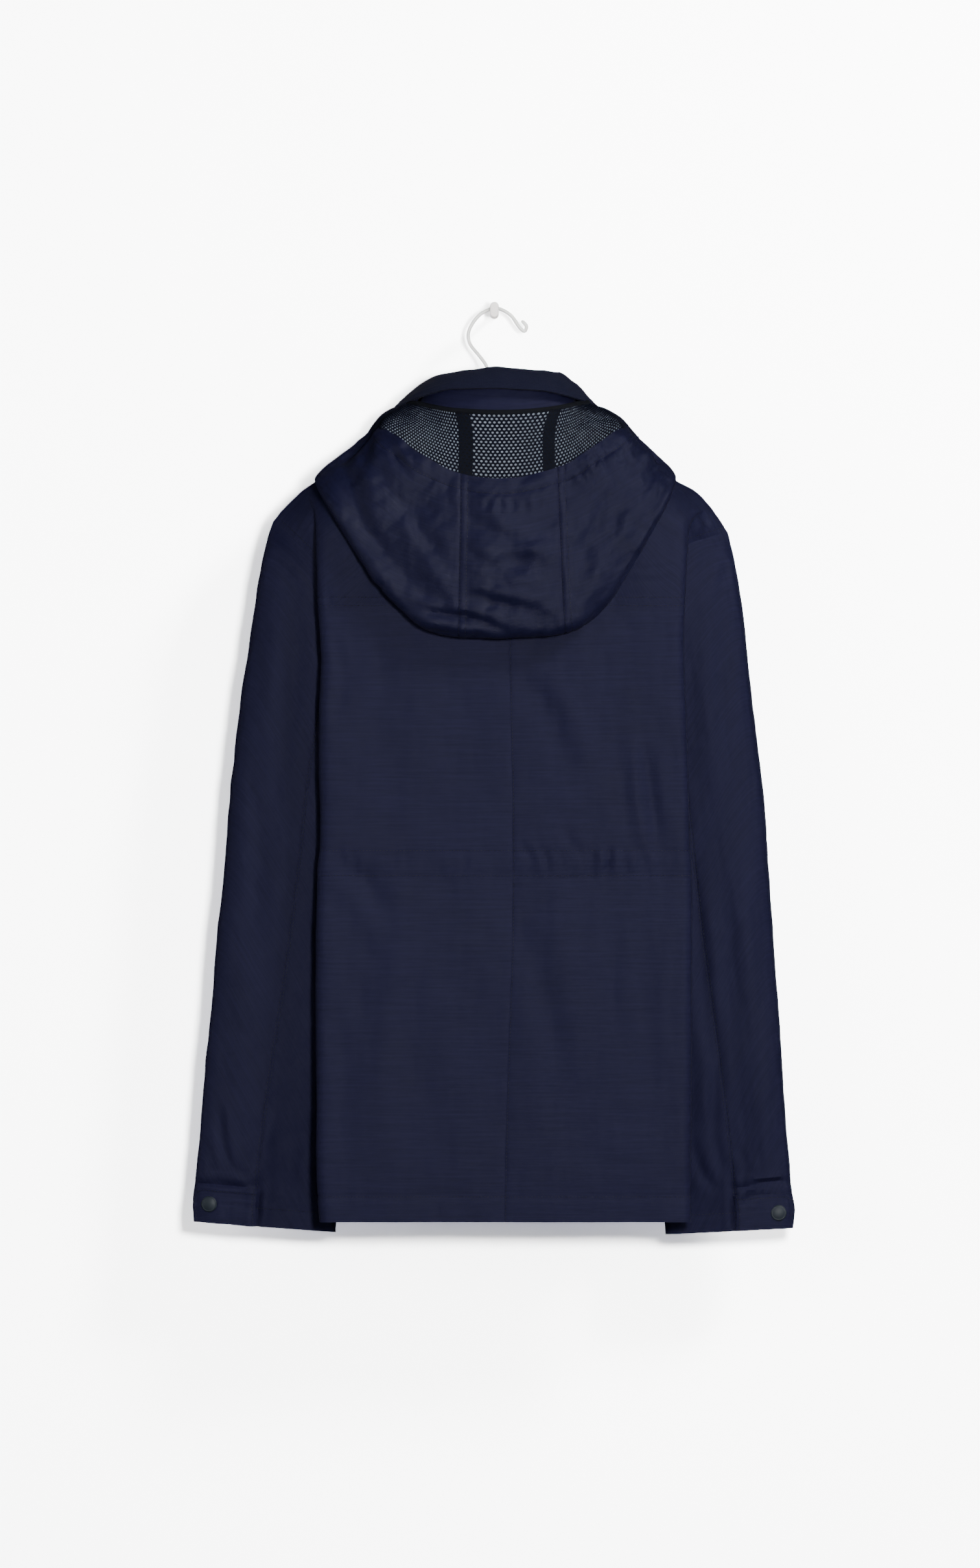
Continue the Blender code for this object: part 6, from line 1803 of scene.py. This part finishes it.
def build_stage():
    """The wall that the peg is on, and a pale room around it whose panels show from the inside only."""
    pale = panel_material("pale_panel")
    even = panel_material("pale_room", ROOM_GLOW)
    r, low, w = ROOM_REACH, FLOOR_Z, WALL_REACH
    panels = {"backdrop": ((-w, WALL_Y, low), (w, WALL_Y, low), (w, WALL_Y, w), (-w, WALL_Y, w)),
              "floor": ((-r, -r, low), (r, -r, low), (r, r, low), (-r, r, low)),
              "room_left": ((-r, -r, low), (-r, r, low), (-r, r, r), (-r, -r, r)),
              "room_right": ((r, r, low), (r, -r, low), (r, -r, r), (r, r, r)),
              "room_near": ((r, -r, low), (-r, -r, low), (-r, -r, r), (r, -r, r)),
              "room_far": ((-r, r, low), (r, r, low), (r, r, r), (-r, r, r))}
    for name, corners in panels.items():
        panel = quad(name, corners, pale if name == "backdrop" else even)
        panel.visible_diffuse = False
        panel.visible_glossy = False
        panel.visible_shadow = False
    for lamp in LAMPS:
        area_light(lamp, LAMP_TARGET)


def build_camera():
    """A long lens ten metres from the jacket's back."""
    camera = bpy.data.cameras.new("camera")
    camera.sensor_fit = "AUTO"
    camera.sensor_width = SENSOR
    camera.lens = SENSOR * VIEW_DISTANCE / VIEW_HEIGHT
    camera.clip_end = 50.0
    made = bpy.data.objects.new("camera", camera)
    made.location = (VIEW_CENTRE[0], VIEW_CENTRE[1] - VIEW_DISTANCE, VIEW_CENTRE[2])
    made.rotation_euler = (math.pi / 2.0, 0.0, 0.0)
    bpy.context.scene.collection.objects.link(made)
    bpy.context.scene.camera = made


# ---------------------------------------------------------------- everything together
# Fields of a piece's cut, flat, in metres: width, length and area where the cut isn't a rectangle; no cut is listed
# here.
Cut = namedtuple("Cut", "width length area held rests_on")


def main():
    build_camera()
    build_stage()
    back_coarse, back, front, sleeves = build_body_surfaces()
    pieces = build_panels(back, front)
    for side, sleeve in zip(("left", "right"), sleeves):
        pieces["sleeve_under_" + side], pieces["sleeve_top_" + side] = build_sleeve(side, sleeve)
    hood = hood_surface(back_coarse)
    dress_hood(hood)
    pieces.update(build_hood(hood))
    pieces["hood_net"] = build_net(hood)
    trims = build_tapes(hood) + [build_binding_and_shade(hood)] + build_facings(hood)
    pieces["collar_stand"], pieces["collar_rib"], rib = build_collar()
    tabs = []
    for side, sleeve in zip(("left", "right"), sleeves):
        pieces["cuff_tab_" + side], tab = build_tab(side, sleeve)
        pieces["snap_" + side] = build_snap(side, tab)
        tabs.append(tab)
    teeth, slider, puller = build_zip(front)
    threads = build_stitches(back, front, sleeves, hood, rib, tabs)
    pieces["hanger_hook"], pieces["hanger_frame"] = build_hanger()
    pieces["wall_peg"] = build_peg()
    light_the_white_parts([pieces[node] for node in ("hanger_hook", "hanger_frame", "wall_peg")])
    for node, piece in pieces.items():
        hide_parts(node)


main()
